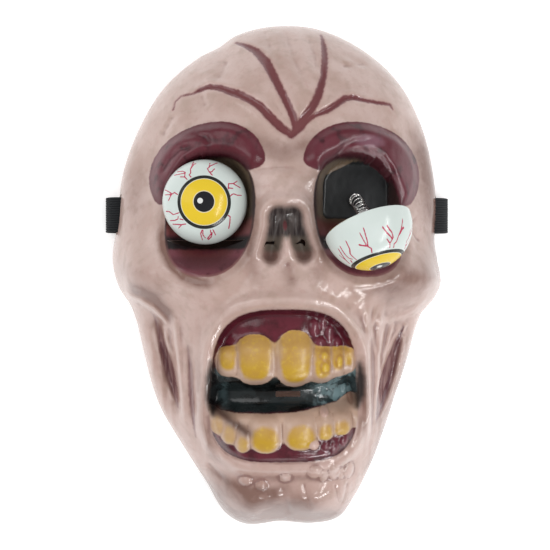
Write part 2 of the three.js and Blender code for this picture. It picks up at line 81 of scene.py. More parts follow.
RIM = [
    (82.8, 19.5), (84.3, 8), (86, -4), (82, -13), (75.4, -20.8), (70.4, -36), (62.6, -61), (56, -81),
    (48.2, -101.2), (40.2, -116.5), (32, -127.4), (18, -130.6), (1, -129.5), (-17, -130.8), (-28, -124.5),
    (-38, -108), (-50.2, -88.8), (-61.6, -69.2), (-69, -45.6), (-73.2, -27.4), (-77.2, -15.9), (-83.4, -6),
    (-86.6, 8), (-84, 28), (-81.4, 52.2), (-73, 76), (-60, 97.8), (-41, 114.4), (-31.2, 119.4), (-21, 126.2),
    (0, 131), (21.6, 129.3), (44.8, 118.6), (63, 102.4), (75.4, 79.9), (81.6, 56.4), (83.7, 38),
]

# Swellings: height, across from the face's axis, up, half width, half height and turn in degrees
MIDDLE_SWELLS = {
    "forehead": (3.5, -1, 86, 46, 24, 0),
    "frown": (-2, 0, 66, 8, 14, 0),
    "nose_root": (2, 0, 48, 12, 10, 0),
    "nose_bridge": (5.5, 0, 26, 14, 22, 0),
    "nose_tip": (1.5, 0, 33, 8, 6, 0),
    "upper_jaw": (5, 0, -8, 24, 12, 0),
    "muzzle": (8, 0, -72, 36, 26, 0),
    "chin": (8, 0, -110, 30, 15, 0),
    "chin_fold": (-3.5, 0, -98, 34, 5.5, 0),
}
PAIRED_SWELLS = {
    "temple": (-6, 71, 48, 14, 26, 0),
    "cheekbone": (8, 62, 0, 20, 11, -12),
    "cheekbone_end": (7, 79, 0, 12, 12, 0),
    "under_eye": (3, 38, -8, 20, 9, 0),
    "cheek_hollow": (-12, 55, -48, 10, 26, 8),
    "under_cheekbone": (-6.5, 65, -26, 12, 8, -20),
    "chin_lobe": (5, 18, -117, 9, 10, 0),
}
# Puffed lids: middle across and up, half width, half height and turn; carved by hand, not alike
LEFT_LID = (36.9, 49.5, 28.7, 22.4, -16)
RIGHT_LID = (38.8, 50.2, 30.3, 22.7, -5)
# Tendons that stand out beside the mouth, and the grooves between them: height, width and route
TENDONS = [
    (2.8, 2.2, [(-53, -14), (-51.5, -38), (-49.5, -58), (-47, -86)]),
    (-3.8, 3, [(-62.5, -18), (-59, -38), (-55.5, -53), (-51, -68)]),
    (-2.4, 2.4, [(-45.5, -30), (-44.5, -42), (-43, -55), (-42.5, -74)]),
    (2.6, 1.9, [(39.5, -12), (40.5, -30), (41, -50), (42, -86)]),
    (2.6, 2.1, [(46.5, -12), (47, -30), (47.5, -50), (46.5, -86)]),
    (-4, 3.2, [(60.5, -26), (59, -40), (56, -53), (50, -70)]),
]
# Teeth: centre across and up, half width and half height
UPPER_TEETH = [
    (-25.5, -40.8, 4.6, 6.8), (-12.6, -39.8, 8.6, 11.6), (6.2, -39.4, 8.2, 13.2),
    (19, -42.5, 4.7, 8.6), (26.4, -40.9, 3.4, 6.6), (31.6, -40.4, 2.6, 5.6),
]
LOWER_TEETH = [
    (-30.4, -68.6, 3.8, 6.6), (-24.6, -72.6, 3.6, 6.8), (-18.4, -77, 3.3, 6), (-8, -74.2, 7.4, 8.8),
    (8.8, -73.2, 7.9, 8.4), (20.5, -71.3, 4.1, 5.8), (28.6, -70, 4.6, 5.4),
]
TOOTH_PROUD, TOOTH_MARGIN, TOOTH_BLEND, TOOTH_SQUARENESS = 3.6, 0.9, 0.8, 2.6
# What stands out round the openings, and how far the nose is sunk
LID_HEIGHT, SOCKET_EDGE_HEIGHT, LIP_HEIGHT, NOSE_EDGE_HEIGHT = 4, 1.5, 4, 2
NOSE_DEPTH = 8.5
SOCKET_UP, SOCKET_HALF_HEIGHT, SOCKET_SQUARENESS = 28, 29, 2.35
LID_SQUARENESS = 2.15


def smooth_step(start, end, value):
    share = np.clip((value - start) / (end - start), 0, 1)
    return share * share * (3 - 2 * share)


def soft_min(a, b, blend):
    share = np.clip(0.5 + 0.5 * (b - a) / blend, 0, 1)
    return b + (a - b) * share - blend * share * (1 - share)


def soft_max(a, b, blend):
    return -soft_min(-a, -b, blend)


def bell(distance, width):
    return np.exp(-((distance / width) ** 2))


def swelling(form, x, y):
    height, across, up, half_width, half_height, turn = form
    angle = math.radians(turn)
    u = ((x - across) * math.cos(angle) + (y - up) * math.sin(angle)) / half_width
    v = ((y - up) * math.cos(angle) - (x - across) * math.sin(angle)) / half_height
    return height * np.exp(-(u * u + v * v))


def along_route(route, x, y):
    """Distance to a route of points, and how many of its stretches lie before the nearest place."""
    nearest = np.full(np.shape(x), FAR)
    passed = np.zeros(np.shape(x))
    for number, (start, end) in enumerate(zip(route, route[1:])):
        run = (end[0] - start[0], end[1] - start[1])
        share = ((x - start[0]) * run[0] + (y - start[1]) * run[1]) / (run[0] ** 2 + run[1] ** 2)
        share = np.clip(share, 0, 1)
        distance = np.hypot(x - start[0] - share * run[0], y - start[1] - share * run[1])
        passed = np.where(distance < nearest, number + share, passed)
        nearest = np.minimum(nearest, distance)
    return nearest, passed


def stroke_distance(route, x, y):
    """Distance outside a stroke whose points are (across, up, half width), and its half width."""
    distance, passed = along_route(route, x, y)
    half_width = np.interp(passed, range(len(route)), [point[2] for point in route])
    return distance - half_width, half_width


def strokes_height(strokes, x, y):
    """Ridges and grooves along routes, given as (height, width, route), that fade at both ends."""
    total = np.zeros(np.shape(x))
    for height, width, route in strokes:
        distance, passed = along_route(route, x, y)
        along = passed / (len(route) - 1)
        total += height * bell(distance, width) * smooth_step(0, 0.2, along) * smooth_step(1, 0.75, along)
    return total


def oval_distance(dx, dy, half_width, half_height, squareness):
    """Distance outside an oval, which is an ellipse at squareness 2 and boxier above it."""
    across, up = np.abs(dx / half_width), np.abs(dy / half_height)
    size = (across**squareness + up**squareness) ** (1 / squareness)
    at_middle = -np.minimum(half_width, half_height)
    return np.where(size > TINY, np.hypot(dx, dy) * (1 - 1 / np.maximum(size, TINY)), at_middle)


def rounded_box_distance(dx, dy, half_width, half_height, corner):
    qx = np.abs(dx) - half_width + corner
    qy = np.abs(dy) - half_height + corner
    return np.hypot(np.maximum(qx, 0), np.maximum(qy, 0)) + np.minimum(np.maximum(qx, qy), 0) - corner


def ripple(x, y, cell_width, cell_height, seed):
    """Smooth waves between -1 and 1, seeded, with hills of about the given width and height."""
    size = 64
    lattice = np.random.default_rng(seed).uniform(-1, 1, (size, size))
    u = x / cell_width + size
    v = y / cell_height + size
    column, row = np.floor(u).astype(int), np.floor(v).astype(int)
    s, t = smooth_step(0, 1, u - column), smooth_step(0, 1, v - row)
    corner = [[lattice[(row + i) % size, (column + j) % size] for j in (0, 1)] for i in (0, 1)]
    lower = corner[0][0] * (1 - s) + corner[0][1] * s
    upper = corner[1][0] * (1 - s) + corner[1][1] * s
    return lower * (1 - t) + upper * t


def rim_reach(angle):
    """The rim's distance from the middle, a smooth curve through its points, by the angle."""
    points = np.array(RIM, float)
    knots = np.arctan2(points[:, 1], points[:, 0])
    order = np.argsort(knots)
    knots, reaches = knots[order], np.hypot(points[:, 0], points[:, 1])[order]
    knots = np.concatenate([knots[-2:] - 2 * np.pi, knots, knots[:3] + 2 * np.pi])
    reaches = np.concatenate([reaches[-2:], reaches, reaches[:3]])
    slopes = np.zeros_like(reaches)
    slopes[1:-1] = (reaches[2:] - reaches[:-2]) / (knots[2:] - knots[:-2])
    angle = (angle + np.pi) % (2 * np.pi) - np.pi
    start = np.clip(np.searchsorted(knots, angle, side="right") - 1, 1, len(knots) - 3)
    span = knots[start + 1] - knots[start]
    t = (angle - knots[start]) / span
    return (
        (2 * t**3 - 3 * t**2 + 1) * reaches[start] + (t**3 - 2 * t**2 + t) * span * slopes[start]
        + (3 * t**2 - 2 * t**3) * reaches[start + 1] + (t**3 - t**2) * span * slopes[start + 1]
    )


def socket_opening(u, y):
    """Distance outside a socket's edge. The right socket is a little wider than the left one."""
    middle, half_width = np.where(u < 0, 35, 36), np.where(u < 0, 21.2, 22.2)
    dy = y - SOCKET_UP
    dx = np.abs(u) - middle + 0.1 * dy
    return oval_distance(dx, dy, half_width, SOCKET_HALF_HEIGHT, SOCKET_SQUARENESS)


def socket_floor(across, y):
    """Distance outside the flat floor on which the spring stands, rounder at its top."""
    top, bottom, half_width = 55.5, 28, 16
    corner = np.where(y > 41, 12, 2.5)
    dx, dy = across - SOCKET_ACROSS, y - (top + bottom) / 2
    return rounded_box_distance(dx, dy, half_width, (top - bottom) / 2, corner)


def lid_distance(u, y):
    """Distance outside the puffed upper lid, a crescent between an oval and the socket's opening."""
    across = np.abs(u)
    ovals = []
    for middle, up, half_width, half_height, turn in (LEFT_LID, RIGHT_LID):
        cosine, sine = math.cos(math.radians(turn)), math.sin(math.radians(turn))
        dx, dy = across - middle, y - up
        along, beside = dx * cosine + dy * sine, dy * cosine - dx * sine
        ovals.append(oval_distance(along, beside, half_width, half_height, LID_SQUARENESS))
    lower_ends = -0.936 * (y - 49.3 + 0.374 * (across - 14.5))
    return soft_max(soft_max(np.where(u < 0, *ovals), lower_ends, 4), -socket_opening(u, y) - 0.8, 2)


def mouth_opening(u, y):
    """Distance outside the mouth, which is wider and squarer low down, where the jaw gapes."""
    low = smooth_step(-46, -66, y)
    return oval_distance(u - 0.2, y + 52, 35 + 1.6 * low, 37, 2.9 + low)


def nose_distance(u, y):
    left_leg = along_route([(-2.6, 27), (-6.2, 9.5)], u, y)[0] - 4.3
    right_leg = along_route([(3.4, 27), (8.8, 10.5)], u, y)[0] - 4.5
    bar = along_route([(-3, 27), (4, 27)], u, y)[0] - 4.6
    return soft_min(soft_min(left_leg, right_leg, 1), bar, 2)


def tooth_row_height(teeth, x, y):
    row = None
    for across, up, half_width, half_height in teeth:
        dx = np.abs((x - across) / (half_width + TOOTH_MARGIN))
        dy = np.abs((y - up) / (half_height + TOOTH_MARGIN))
        outward = dx**TOOTH_SQUARENESS + dy**TOOTH_SQUARENESS
        mound = TOOTH_PROUD * np.clip(1 - outward, 0, 1) ** 0.75
        row = mound if row is None else soft_max(row, mound, TOOTH_BLEND)
    return row


def mouth_inside(u, y):
    """Height inside the mouth: an arch with the rows of teeth, the gums and the gap between."""
    dental_arch = 60 - 12 * (u / 34) ** 2
    upper_row = 3.4 * np.exp(-(((y + 40) / 9.6) ** 4))
    lower_row = 3.4 * np.exp(-(((y + 73) / 9) ** 4))
    throat = -7.4 * np.exp(-(((y + 57.5 - 0.05 * u) / 6.2) ** 4))
    gums = 2 * bell(y + 24, 7) + 1.5 * bell(y + 86, 5)
    teeth = sum(tooth_row_height(row, u + FACE_AXIS, y) for row in (UPPER_TEETH, LOWER_TEETH))
    return dental_arch + upper_row + lower_row + throat + gums + teeth


def face_height(x, y):
    """Height of the outer surface over the rim, without the finest relief."""
    share = np.clip(np.hypot(x, y) / rim_reach(np.arctan2(y, x)), 0, 1)
    u = x - FACE_AXIS
    across = np.abs(u)
    edge = 1 - share**SHELL_FULLNESS
    relief = sum(swelling(form, u, y) for form in MIDDLE_SWELLS.values())
    relief += sum(swelling(form, across, y) for form in PAIRED_SWELLS.values())
    relief += LID_HEIGHT * smooth_step(0.6, -5.5, lid_distance(u, y))
    relief += SOCKET_EDGE_HEIGHT * bell(socket_opening(u, y) - 4, 3) * (1 - smooth_step(14, 24, y))
    relief += LIP_HEIGHT * bell(mouth_opening(u, y) - 3.4, 3.6)
    relief += strokes_height(TENDONS, u, y)
    z = DEPTH * edge**SHELL_ROUNDING + relief * smooth_step(0, 0.42, edge)

    opening = socket_opening(u, y)
    from_floor = np.maximum(socket_floor(across, y), 0)
    climb = 1 - np.clip(1 - from_floor / np.maximum(from_floor - opening, TINY), 0, 1) ** 1.5
    z = np.where(opening < 0, SOCKET_FLOOR + (z - SOCKET_FLOOR) * climb, z)
    lips = mouth_opening(u, y)
    inside = mouth_inside(u, y)
    z = np.where(lips < 0.3, inside + (z - inside) * smooth_step(-4.6, 0.3, lips), z)
    nose = nose_distance(u, y)
    z = z - NOSE_DEPTH * (1 - smooth_step(-4.2, 1.6, nose))
    z = z + NOSE_EDGE_HEIGHT * bell(nose - 3, 2.4) * smooth_step(2, 12, y)
    return np.where(share >= 1, 0, np.maximum(z, 0))


# The finest relief is cut into the mould: four veins that meet in the frown, wrinkles, drips
# and warts, and the unevenness of a hand-carved skin.
VEINS = {
    "left": [
        (-52.5, 81, 0.1), (-51.5, 85.5, 0.1), (-48.5, 88, 0.15), (-42.5, 88.5, 0.3), (-38.5, 90.5, 0.9),
        (-34.5, 91.5, 1.1), (-30, 90.5, 1.3), (-25.5, 88.5, 1.6), (-20, 86, 1.7), (-14, 82.5, 1.55),
        (-9.5, 79, 1.8), (-5.5, 74.5, 1.8), (-0.5, 69.5, 1.7), (4.5, 66, 1.2),
    ],
    "crown_left": [
        (-21.5, 117.5, 0.5), (-16.5, 114, 1.2), (-12, 110.5, 1.7), (-7, 103, 2.1), (-3.5, 95, 1.8),
        (-0.5, 88, 1.6), (3, 80.5, 1.5), (5.5, 74.5, 1.5), (6.5, 70.5, 1.45), (6.5, 68, 1.2),
    ],
    "crown_right": [
        (21.5, 122, 0.3), (22, 114, 1), (22, 106.5, 1.3), (20.5, 95.5, 1.3), (17.5, 85, 1.7),
        (14, 78.5, 1.7), (10, 73.5, 1.45), (7.5, 70, 1.2),
    ],
    "right": [
        (55.5, 81.5, 0.1), (54, 84, 0.5), (47, 84, 0.7), (40, 84.5, 0.7), (34.5, 85.5, 1.2),
        (30.5, 84.5, 1.3), (26, 81, 1.3), (21.5, 78, 1.2), (16, 75.5, 0.55), (12, 72.5, 0.65),
        (9, 69, 1), (4.5, 65.5, 1.2),
    ],
}
VEIN_DEPTH = 1.15
# Leaf-shaped grooves in the hollow cheeks, like bared muscle
LEAVES = {
    "right": [
        (62.5, -26, 0.2), (60, -34, 2), (57, -44, 3.4), (53.9, -53, 4.6), (51.3, -61, 4), (49, -69, 1.8),
        (47.5, -73.5, 0.1),
    ],
    "left": [
        (-62.5, -19.5, 0.1), (-60.5, -28, 1), (-58, -38, 2.2), (-55.5, -48, 2.8), (-53, -57, 2),
        (-50.5, -66, 0.1),
    ],
    "left_inner": [(-45, -34, 0.1), (-44, -44, 1), (-43.5, -58, 1.3), (-42.5, -70, 0.9), (-41.5, -80, 0.1)],
}
LEAF_DEPTH = 1.1
# Folds and wrinkles: height, width and route
FOLDS = {
    "under_left_eye": [
        (1.5, 2.2, [(-52, 8), (-44.5, 2.5), (-38.5, 0), (-32, -1), (-25, 2.5), (-17.5, 8.5)]),
    ],
    "left_cheek": [
        (2.2, 1.7, [(-80, -7), (-73.5, -11), (-68.5, -12.5), (-62, -16.5), (-57.5, -21.5), (-52, -28.5)]),
        (-1, 1.5, [(-64.5, -27), (-62, -38), (-59, -50), (-55, -62)]),
        (0.9, 1.2, [(-57.5, -24), (-56, -35), (-55, -45), (-53, -56)]),
    ],
    "right_cheek": [
        (1.7, 2.3, [(75, -9), (69, -16.5), (61.5, -20.5), (54, -22), (46.5, -22), (42, -19)]),
        (1.4, 1.3, [(45.5, -13.5), (43.5, -25), (44.5, -33), (46.5, -42)]),
        (1.3, 1.3, [(51, -21), (49.5, -32), (47.5, -42)]),
        (1.3, 1.3, [(57, -22.5), (54, -33), (51, -43)]),
        (1.1, 1, [(65, -23.5), (61.5, -30), (59, -35)]),
        (-0.8, 1.1, [(68.5, 30.5), (62.5, 23.5), (66.5, 18), (70.5, 15.5)]),
    ],
    "lips": [
        (1.6, 1.8, [(22, -12), (33, -23), (38.5, -29), (40.5, -39), (41, -55), (43, -77), (41, -96)]),
        (-1.3, 1.7, [(-36.5, -58), (-36, -71), (-34, -82), (-29.5, -89.5), (-21, -92.5)]),
        (-1.2, 2.6, [(1.5, 7), (3.5, 1), (5, -4)]),
        (-1, 1.6, [(-37, -92), (-31.5, -97), (-26, -101.5)]),
    ],
    "chin": [
        (-1, 1.4, [(0.5, -100.5), (3, -111), (5.5, -122)]),
        (-1, 1.2, [(10.5, -99), (13, -107.5), (15.5, -116)]),
        (-1, 1.2, [(26, -100), (28, -108), (30.5, -116)]),
        (-0.9, 1.2, [(33.5, -101), (32.5, -109), (31, -117)]),
    ],
    "forehead": [
        (-1.1, 2.4, [(2.5, 127), (5, 113), (6, 106.5), (8, 101.5), (13, 90)]),
        (0.8, 2.6, [(9, 126), (11, 112), (13, 100), (16, 92)]),
        (-0.9, 2, [(-7.5, 126), (-6.5, 118), (-4.5, 109)]), (0.7, 2, [(-1.5, 125), (-1, 114), (-1, 104)]),
        (-0.9, 2, [(-24, 127), (-18, 114)]), (-0.9, 1.8, [(29, 102), (45, 106)]),
        (0.7, 2, [(30, 107), (44, 101)]),
        (-0.9, 1.8, [(-39.5, 92), (-36, 79)]), (-0.9, 2, [(-26, 108), (-28, 100.5), (-32, 94)]),
        (-0.9, 2.2, [(14, 121), (17, 108), (19, 96)]), (-1, 1.8, [(-51.5, 79), (-58.5, 66)]),
        (0.9, 2.2, [(-46, 104), (-38, 99), (-34, 92)]), (-1, 1.6, [(-14.5, 49.5), (-2, 50), (10, 49.5)]),
    ],
    "lids": [
        (-1.1, 1.4, [(22.5, 54.5), (29.5, 60.5), (34, 62.5), (39, 63.5), (47, 65.5)]),
        (-1.1, 1.3, [(36, 62), (43, 59), (48, 57), (51.5, 53), (56.5, 45)]),
        (-1, 1.3, [(48, 72), (56.5, 68), (62, 63)]),
        (-1.1, 1.4, [(-48, 65), (-41, 66.5), (-36, 65), (-32.5, 60)]),
        (-1.1, 1.4, [(-58.5, 47), (-53, 55), (-48, 59.5), (-39, 61)]),
    ],
}
# Warts and drips of flesh: across, up, half width, half height and height
WARTS = [
    (-17, -99, 3.2, 2.3, 2.5), (-9.5, -101, 2.9, 2.3, 2.3), (2, -97, 3, 2.5, 2.6),
    (16, -94, 3.4, 4, 2.6), (20.5, -96, 2.6, 3.4, 2), (25.5, -94.5, 3, 4.4, 2.6), (29.5, -96, 2.4, 3.4, 2),
    (33.5, -95.5, 2.8, 4.4, 2.4), (15, -79.5, 2.4, 2.7, 2.8), (20, -64.5, 2, 2.4, 2.5),
]
# Lumps in the gums and on the teeth, like blisters
GUM_LUMPS = [
    (15.4, -24.8, 2.3, 4.2, 1.5), (19.3, -22.6, 2, 3.2, 1.4), (22.8, -27.3, 2.4, 4, 1.5),
    (18, -31.2, 2.8, 2.2, 1.5), (26.4, -31.4, 1.8, 2.4, 1.2), (21, -80.6, 2.1, 2.3, 1.4),
    (25, -81.6, 2.5, 3, 1.6), (29.8, -79, 2.4, 2.8, 1.5),
]
BAND_LUMPS = [
    (24, -52.5, 3.4, 2.4, 1.2), (28.5, -50.5, 2.2, 3.2, 1.4), (19, -55.5, 3, 1.5, 0.9),
    (15.5, -59.5, 2.2, 1.2, 0.8), (31.5, -54.5, 1.8, 2.8, 1), (-30, -52, 2.6, 4.2, 0.8),
]
TOOTH_LUMPS = [(19.8, -37.6, 2.4, 2.4, 1.4), (20.3, -43.2, 2.5, 2.9, 1.6), (27.2, -40.6, 2, 3.2, 1.5)]
# Where the nostrils' sides are painted darker, in the same terms: they aren't raised
NOSE_LOBES = [(-5.3, 9.6, 4, 5.6, 0), (9.8, 10, 4.2, 5.4, 0)]
DEEPEST_CUT = 1.3


def nearest_stroke(strokes, x, y):
    """Distance outside the nearest of some strokes, and that one's half width."""
    nearest = np.full(np.shape(x), FAR)
    half_width = np.ones(np.shape(x))
    for route in strokes:
        distance, width = stroke_distance(route, x, y)
        half_width = np.where(distance < nearest, width, half_width)
        nearest = np.minimum(nearest, distance)
    return nearest, half_width


def carved_height(x, y):
    """Height of the outer surface with its finest relief."""
    u = x - FACE_AXIS
    share = np.clip(np.hypot(x, y) / rim_reach(np.arctan2(y, x)), 0, 1)
    calm = smooth_step(1, 0.93, share)
    vein, half_width = nearest_stroke(VEINS.values(), x, y)
    leaf, leaf_width = nearest_stroke(LEAVES.values(), x, y)
    strength = np.clip(half_width / 1.1, 0.3, 1)
    relief = -VEIN_DEPTH * strength * smooth_step(0.9, -1.1, vein)
    relief += 0.45 * strength * bell(vein - 1.7, 1.3)
    in_mouth = smooth_step(0, -3, mouth_opening(u, y))
    on_skin = 1 - in_mouth
    relief += on_skin * (0.55 * ripple(x, y, 17, 15, 1) + 0.3 * ripple(x, y, 7, 9, 2))
    cheek = smooth_step(-8, -30, y) * smooth_step(24, 38, np.abs(u)) * on_skin
    relief += cheek * 0.5 * ripple(x, y, 2.6, 15, 3)
    relief += 0.12 * ripple(x, y, 2.2, 2.6, 4)
    relief -= LEAF_DEPTH * np.clip(leaf_width / 2, 0.2, 1) * smooth_step(0.7, -1.2, leaf)
    relief += 0.5 * bell(leaf - 1.5, 1) * smooth_step(0, 1.5, leaf_width)
    for folds in FOLDS.values():
        relief += strokes_height(folds, x, y)
    relief = np.maximum(relief, -DEEPEST_CUT)
    for across, up, wide, tall, height in WARTS + GUM_LUMPS + BAND_LUMPS + TOOTH_LUMPS:
        outward = ((x - across) / wide) ** 2 + ((y - up) / tall) ** 2
        relief += height * np.sqrt(np.clip(1 - outward, 0, 1))
    return np.maximum(face_height(x, y) + relief * calm, 0)


def hollow_height(x, y):
    """Height of the inner surface: the outer one moved in by the wall on every side."""
    margin = 1.45 * WALL
    lowest = face_height(x, y) - margin
    for step in (0.5, 0.85, 1):
        drop = margin * math.sqrt(1 - step * step)
        for angle in np.arange(8) * np.pi / 4:
            dx, dy = step * margin * math.cos(angle), step * margin * math.sin(angle)
            lowest = np.minimum(lowest, face_height(x + dx, y + dy) - drop)
    return np.maximum(lowest, 0)


def shell_points(count, inner):
    """Points of a square grid laid over the face, with the grid's border on the rim."""
    steps = np.linspace(-1, 1, count + 1)
    u, v = np.meshgrid(steps, steps)
    dx, dy = u * np.sqrt(1 - v * v / 2), v * np.sqrt(1 - u * u / 2)
    even, angle = np.hypot(dx, dy), np.arctan2(dy, dx)
    on_rim = (np.abs(u) == 1) | (np.abs(v) == 1)
    share = np.where(on_rim, 1, (even + np.sin(np.pi / 2 * even)) / 2)
    radius = rim_reach(angle) * share - (WALL * share**8 if inner else 0)
    x, y = radius * np.cos(angle), radius * np.sin(angle)
    lift = RIM_LIFT * np.exp(-(((y - STRAP_UP) / LIFT_SPREAD) ** 6)) * (np.abs(x) > 60)
    height = hollow_height(x, y) if inner else carved_height(x, y)
    return np.stack([x, y, np.where(on_rim, lift, height)], -1).reshape(-1, 3)


def grid_index(count):
    return np.arange((count + 1) ** 2).reshape(count + 1, count + 1)


def grid_faces(points, count):
    """Triangles over a square grid of points, each square split along its shorter diagonal."""
    index = grid_index(count)
    corners = (index[:-1, :-1], index[:-1, 1:], index[1:, 1:], index[1:, :-1])
    a, b, c, d = (corner.ravel() for corner in corners)
    length_ac, length_bd = (np.linalg.norm(points[i] - points[j], axis=1) for i, j in ((a, c), (b, d)))
    split_ac = (length_ac < length_bd)[:, None]
    first = np.where(split_ac, np.stack([a, b, c], 1), np.stack([a, b, d], 1))
    second = np.where(split_ac, np.stack([a, c, d], 1), np.stack([b, c, d], 1))
    return np.concatenate([first, second])


def grid_border(count):
    index = grid_index(count)
    return np.concatenate([index[0, :-1], index[:-1, -1], index[-1, :0:-1], index[:0:-1, 0]])


def new_object(name, points, faces, edges=()):
    """A Blender object from points in millimetres; its faces may have any number of corners."""
    mesh = bpy.data.meshes.new(name)
    faces = faces.tolist() if isinstance(faces, np.ndarray) else list(faces)
    mesh.from_pydata((np.asarray(points, float) * MM).tolist(), list(edges), faces)
    made = bpy.data.objects.new(name, mesh)
    bpy.context.scene.collection.objects.link(made)
    return made


def plain_mesh(source, name):
    """The object with its modifiers applied, as a new plain mesh object in its place."""
    bpy.context.view_layer.update()
    evaluated = source.evaluated_get(bpy.context.evaluated_depsgraph_get())
    mesh = bpy.data.meshes.new_from_object(evaluated)
    made = bpy.data.objects.new(name, mesh)
    mesh.name = name
    bpy.context.scene.collection.objects.link(made)
    bpy.data.objects.remove(source)
    return made


def prism(outline, bottom, top):
    """Points and faces of an upright block over a flat outline that runs counter-clockwise."""
    count = len(outline)
    points = [(x, y, z) for z in (bottom, top) for x, y in outline]
    faces = [tuple(reversed(range(count))), tuple(range(count, 2 * count))]
    faces += [(i, (i + 1) % count, (i + 1) % count + count, i + count) for i in range(count)]
    return points, faces


def box_outline(x, y, half_width, half_height):
    corners = ((-1, -1), (1, -1), (1, 1), (-1, 1))
    return [(x + i * half_width, y + j * half_height) for i, j in corners]


def sight_slit(side):
    """The crescent to see through, under the eye: straight above, curved below."""
    middle, half_width, top, sag = 36.9, 18.5, 16.4, 4.1
    across = np.linspace(-1, 1, 25)
    outline = [(FACE_AXIS + side * (middle + half_width * t), top - sag * (1 - t * t)) for t in across]
    return outline if side > 0 else outline[::-1]


def wall_across(side, height):
    """Where the outer surface stands at a given height beside the strap."""
    across = np.linspace(40, 90, 5001)
    heights = face_height(side * across, np.full_like(across, STRAP_UP))
    return across[np.nonzero(heights > height)[0][-1]]


SIDES = (-1, 1)
ABOVE_ALL = 90
SLOT_UP, SLOT_HEIGHT, SLOT_LENGTH, SLOT_DEPTH = 14, 3.4, 20.6, 24
SPRING_SEAT = (36.3, 37.1)
STUD_RADIUS, STUD_HEIGHT, STUD_SIDES = 2, 2.5, 32
MOUTH_SLIT = (3.2, -56.6, 5.9, 1.3)
LEFT_NOSTRIL = [
    (-8.6, 12.4), (-7.9, 13.9), (-7.1, 14.4), (-5.2, 14.3), (-3.3, 14.2), (-2.5, 13.5), (-1.9, 12.3),
    (-2.9, 13.1), (-3.6, 14.6), (-3.4, 15.9), (-5.6, 15.6), (-7.4, 15.7), (-7.9, 14.9),
]
RIGHT_NOSTRIL = [
    (6.1, 14.5), (7.2, 14.4), (8.4, 14.9), (9.6, 14.6), (10.5, 13.4), (11.1, 14), (11, 15.4),
    (10.2, 16.6), (9.2, 16.9), (8.4, 16), (7, 15),
]
cuts = [prism(sight_slit(side), 10, ABOVE_ALL) for side in SIDES]
for outline in (LEFT_NOSTRIL, RIGHT_NOSTRIL, box_outline(*MOUTH_SLIT)):
    cuts.append(prism(outline, 30, ABOVE_ALL))
for side in SIDES:
    outline = box_outline(side * wall_across(side, SLOT_UP), STRAP_UP, SLOT_DEPTH / 2, SLOT_LENGTH / 2)
    cuts.append(prism(outline, SLOT_UP - SLOT_HEIGHT / 2, SLOT_UP + SLOT_HEIGHT / 2))

# The studs on the sockets' floors, over which the springs are pressed
studs = []
for side in SIDES:
    across, up = FACE_AXIS + side * SPRING_SEAT[0], SPRING_SEAT[1]
    turns = np.arange(STUD_SIDES) * 2 * np.pi / STUD_SIDES
    outline = [(across + STUD_RADIUS * math.cos(a), up + STUD_RADIUS * math.sin(a)) for a in turns]
    studs.append(prism(outline, SOCKET_FLOOR - WALL / 2, SOCKET_FLOOR + STUD_HEIGHT))

PAINTED, BARE = 0, 1
OUTER_GRID = 276
INNER_GRID = OUTER_GRID // 2
outer_points = shell_points(OUTER_GRID, inner=False)
inner_points = shell_points(INNER_GRID, inner=True)
outer_faces = grid_faces(outer_points, OUTER_GRID)
inner_faces = grid_faces(inner_points, INNER_GRID)[:, ::-1] + len(outer_points)
outer_border = grid_border(OUTER_GRID)
here = grid_border(INNER_GRID) + len(outer_points)
first, second = outer_border[0::2], outer_border[1::2]
third, there = np.roll(first, -1), np.roll(here, -1)
rim_corners = ((first, here, second), (second, here, there), (second, there, third))
rim_faces = np.concatenate([np.stack(corners, 1) for corners in rim_corners])
shell_faces = np.concatenate([outer_faces, inner_faces, rim_faces])
shell = new_object("shell_blank", np.concatenate([outer_points, inner_points]), shell_faces)
finish_numbers = np.full(len(shell_faces), BARE)
finish_numbers[:len(outer_faces)] = PAINTED
shell.data.polygons.foreach_set("material_index", finish_numbers)


# The paint is brushed and airbrushed on by hand: skin colour over everything, wine red on the
# lids, sockets and gums, black in the gaps, and yellow on the teeth. Some coats are painted light:
# painted shade in creases, hollows, sockets and the mouth, painted highlights on ridges and on
# the right lid, and a painted reflection on the black gap.
def both_ways(operation):
    """An operator's method, and the one for when a plain number stands on its left."""
    def forward(self, other):
        return self.maker.maths(operation, self, other)

    def reflected(self, other):
        return self.maker.maths(operation, other, self)

    return forward, reflected


class Number:
    """One output of a node tree, so that its maths is written as an expression."""

    def __init__(self, maker, socket):
        self.maker, self.socket = maker, socket

    __add__, __radd__ = both_ways("ADD")
    __sub__, __rsub__ = both_ways("SUBTRACT")
    __mul__, __rmul__ = both_ways("MULTIPLY")
    __truediv__, __rtruediv__ = both_ways("DIVIDE")
    __pow__, __rpow__ = both_ways("POWER")


class NodeMaker:
    """Builds one node tree. Every node comes from node(), every sum from an expression."""

    def __init__(self, tree):
        self.tree = tree

    def node(self, kind, inputs=None, **settings):
        made = self.tree.nodes.new(kind)
        for name, value in settings.items():
            setattr(made, name, value)
        for key, value in (inputs or {}).items():
            if isinstance(value, Number):
                value = value.socket
            if isinstance(value, bpy.types.NodeSocket):
                self.tree.links.new(value, made.inputs[key])
            else:
                made.inputs[key].default_value = value
        return made

    def result(self, kind, inputs=None, **settings):
        return self.node(kind, inputs, **settings).outputs[0]

    def number(self, kind, inputs=None, **settings):
        return Number(self, self.result(kind, inputs, **settings))

    def maths(self, operation, first, second=0.0):
        return self.number("ShaderNodeMath", {0: first, 1: second}, operation=operation)


def colour(red, green, blue):
    """The linear colour that shaders take, from one given as it is seen, 0 to 255."""
    seen = (red, green, blue)
    linear = [((part / 255 + 0.055) / 1.055) ** 2.4 if part > 10 else part / 3295 for part in seen]
    return (*linear, 1)


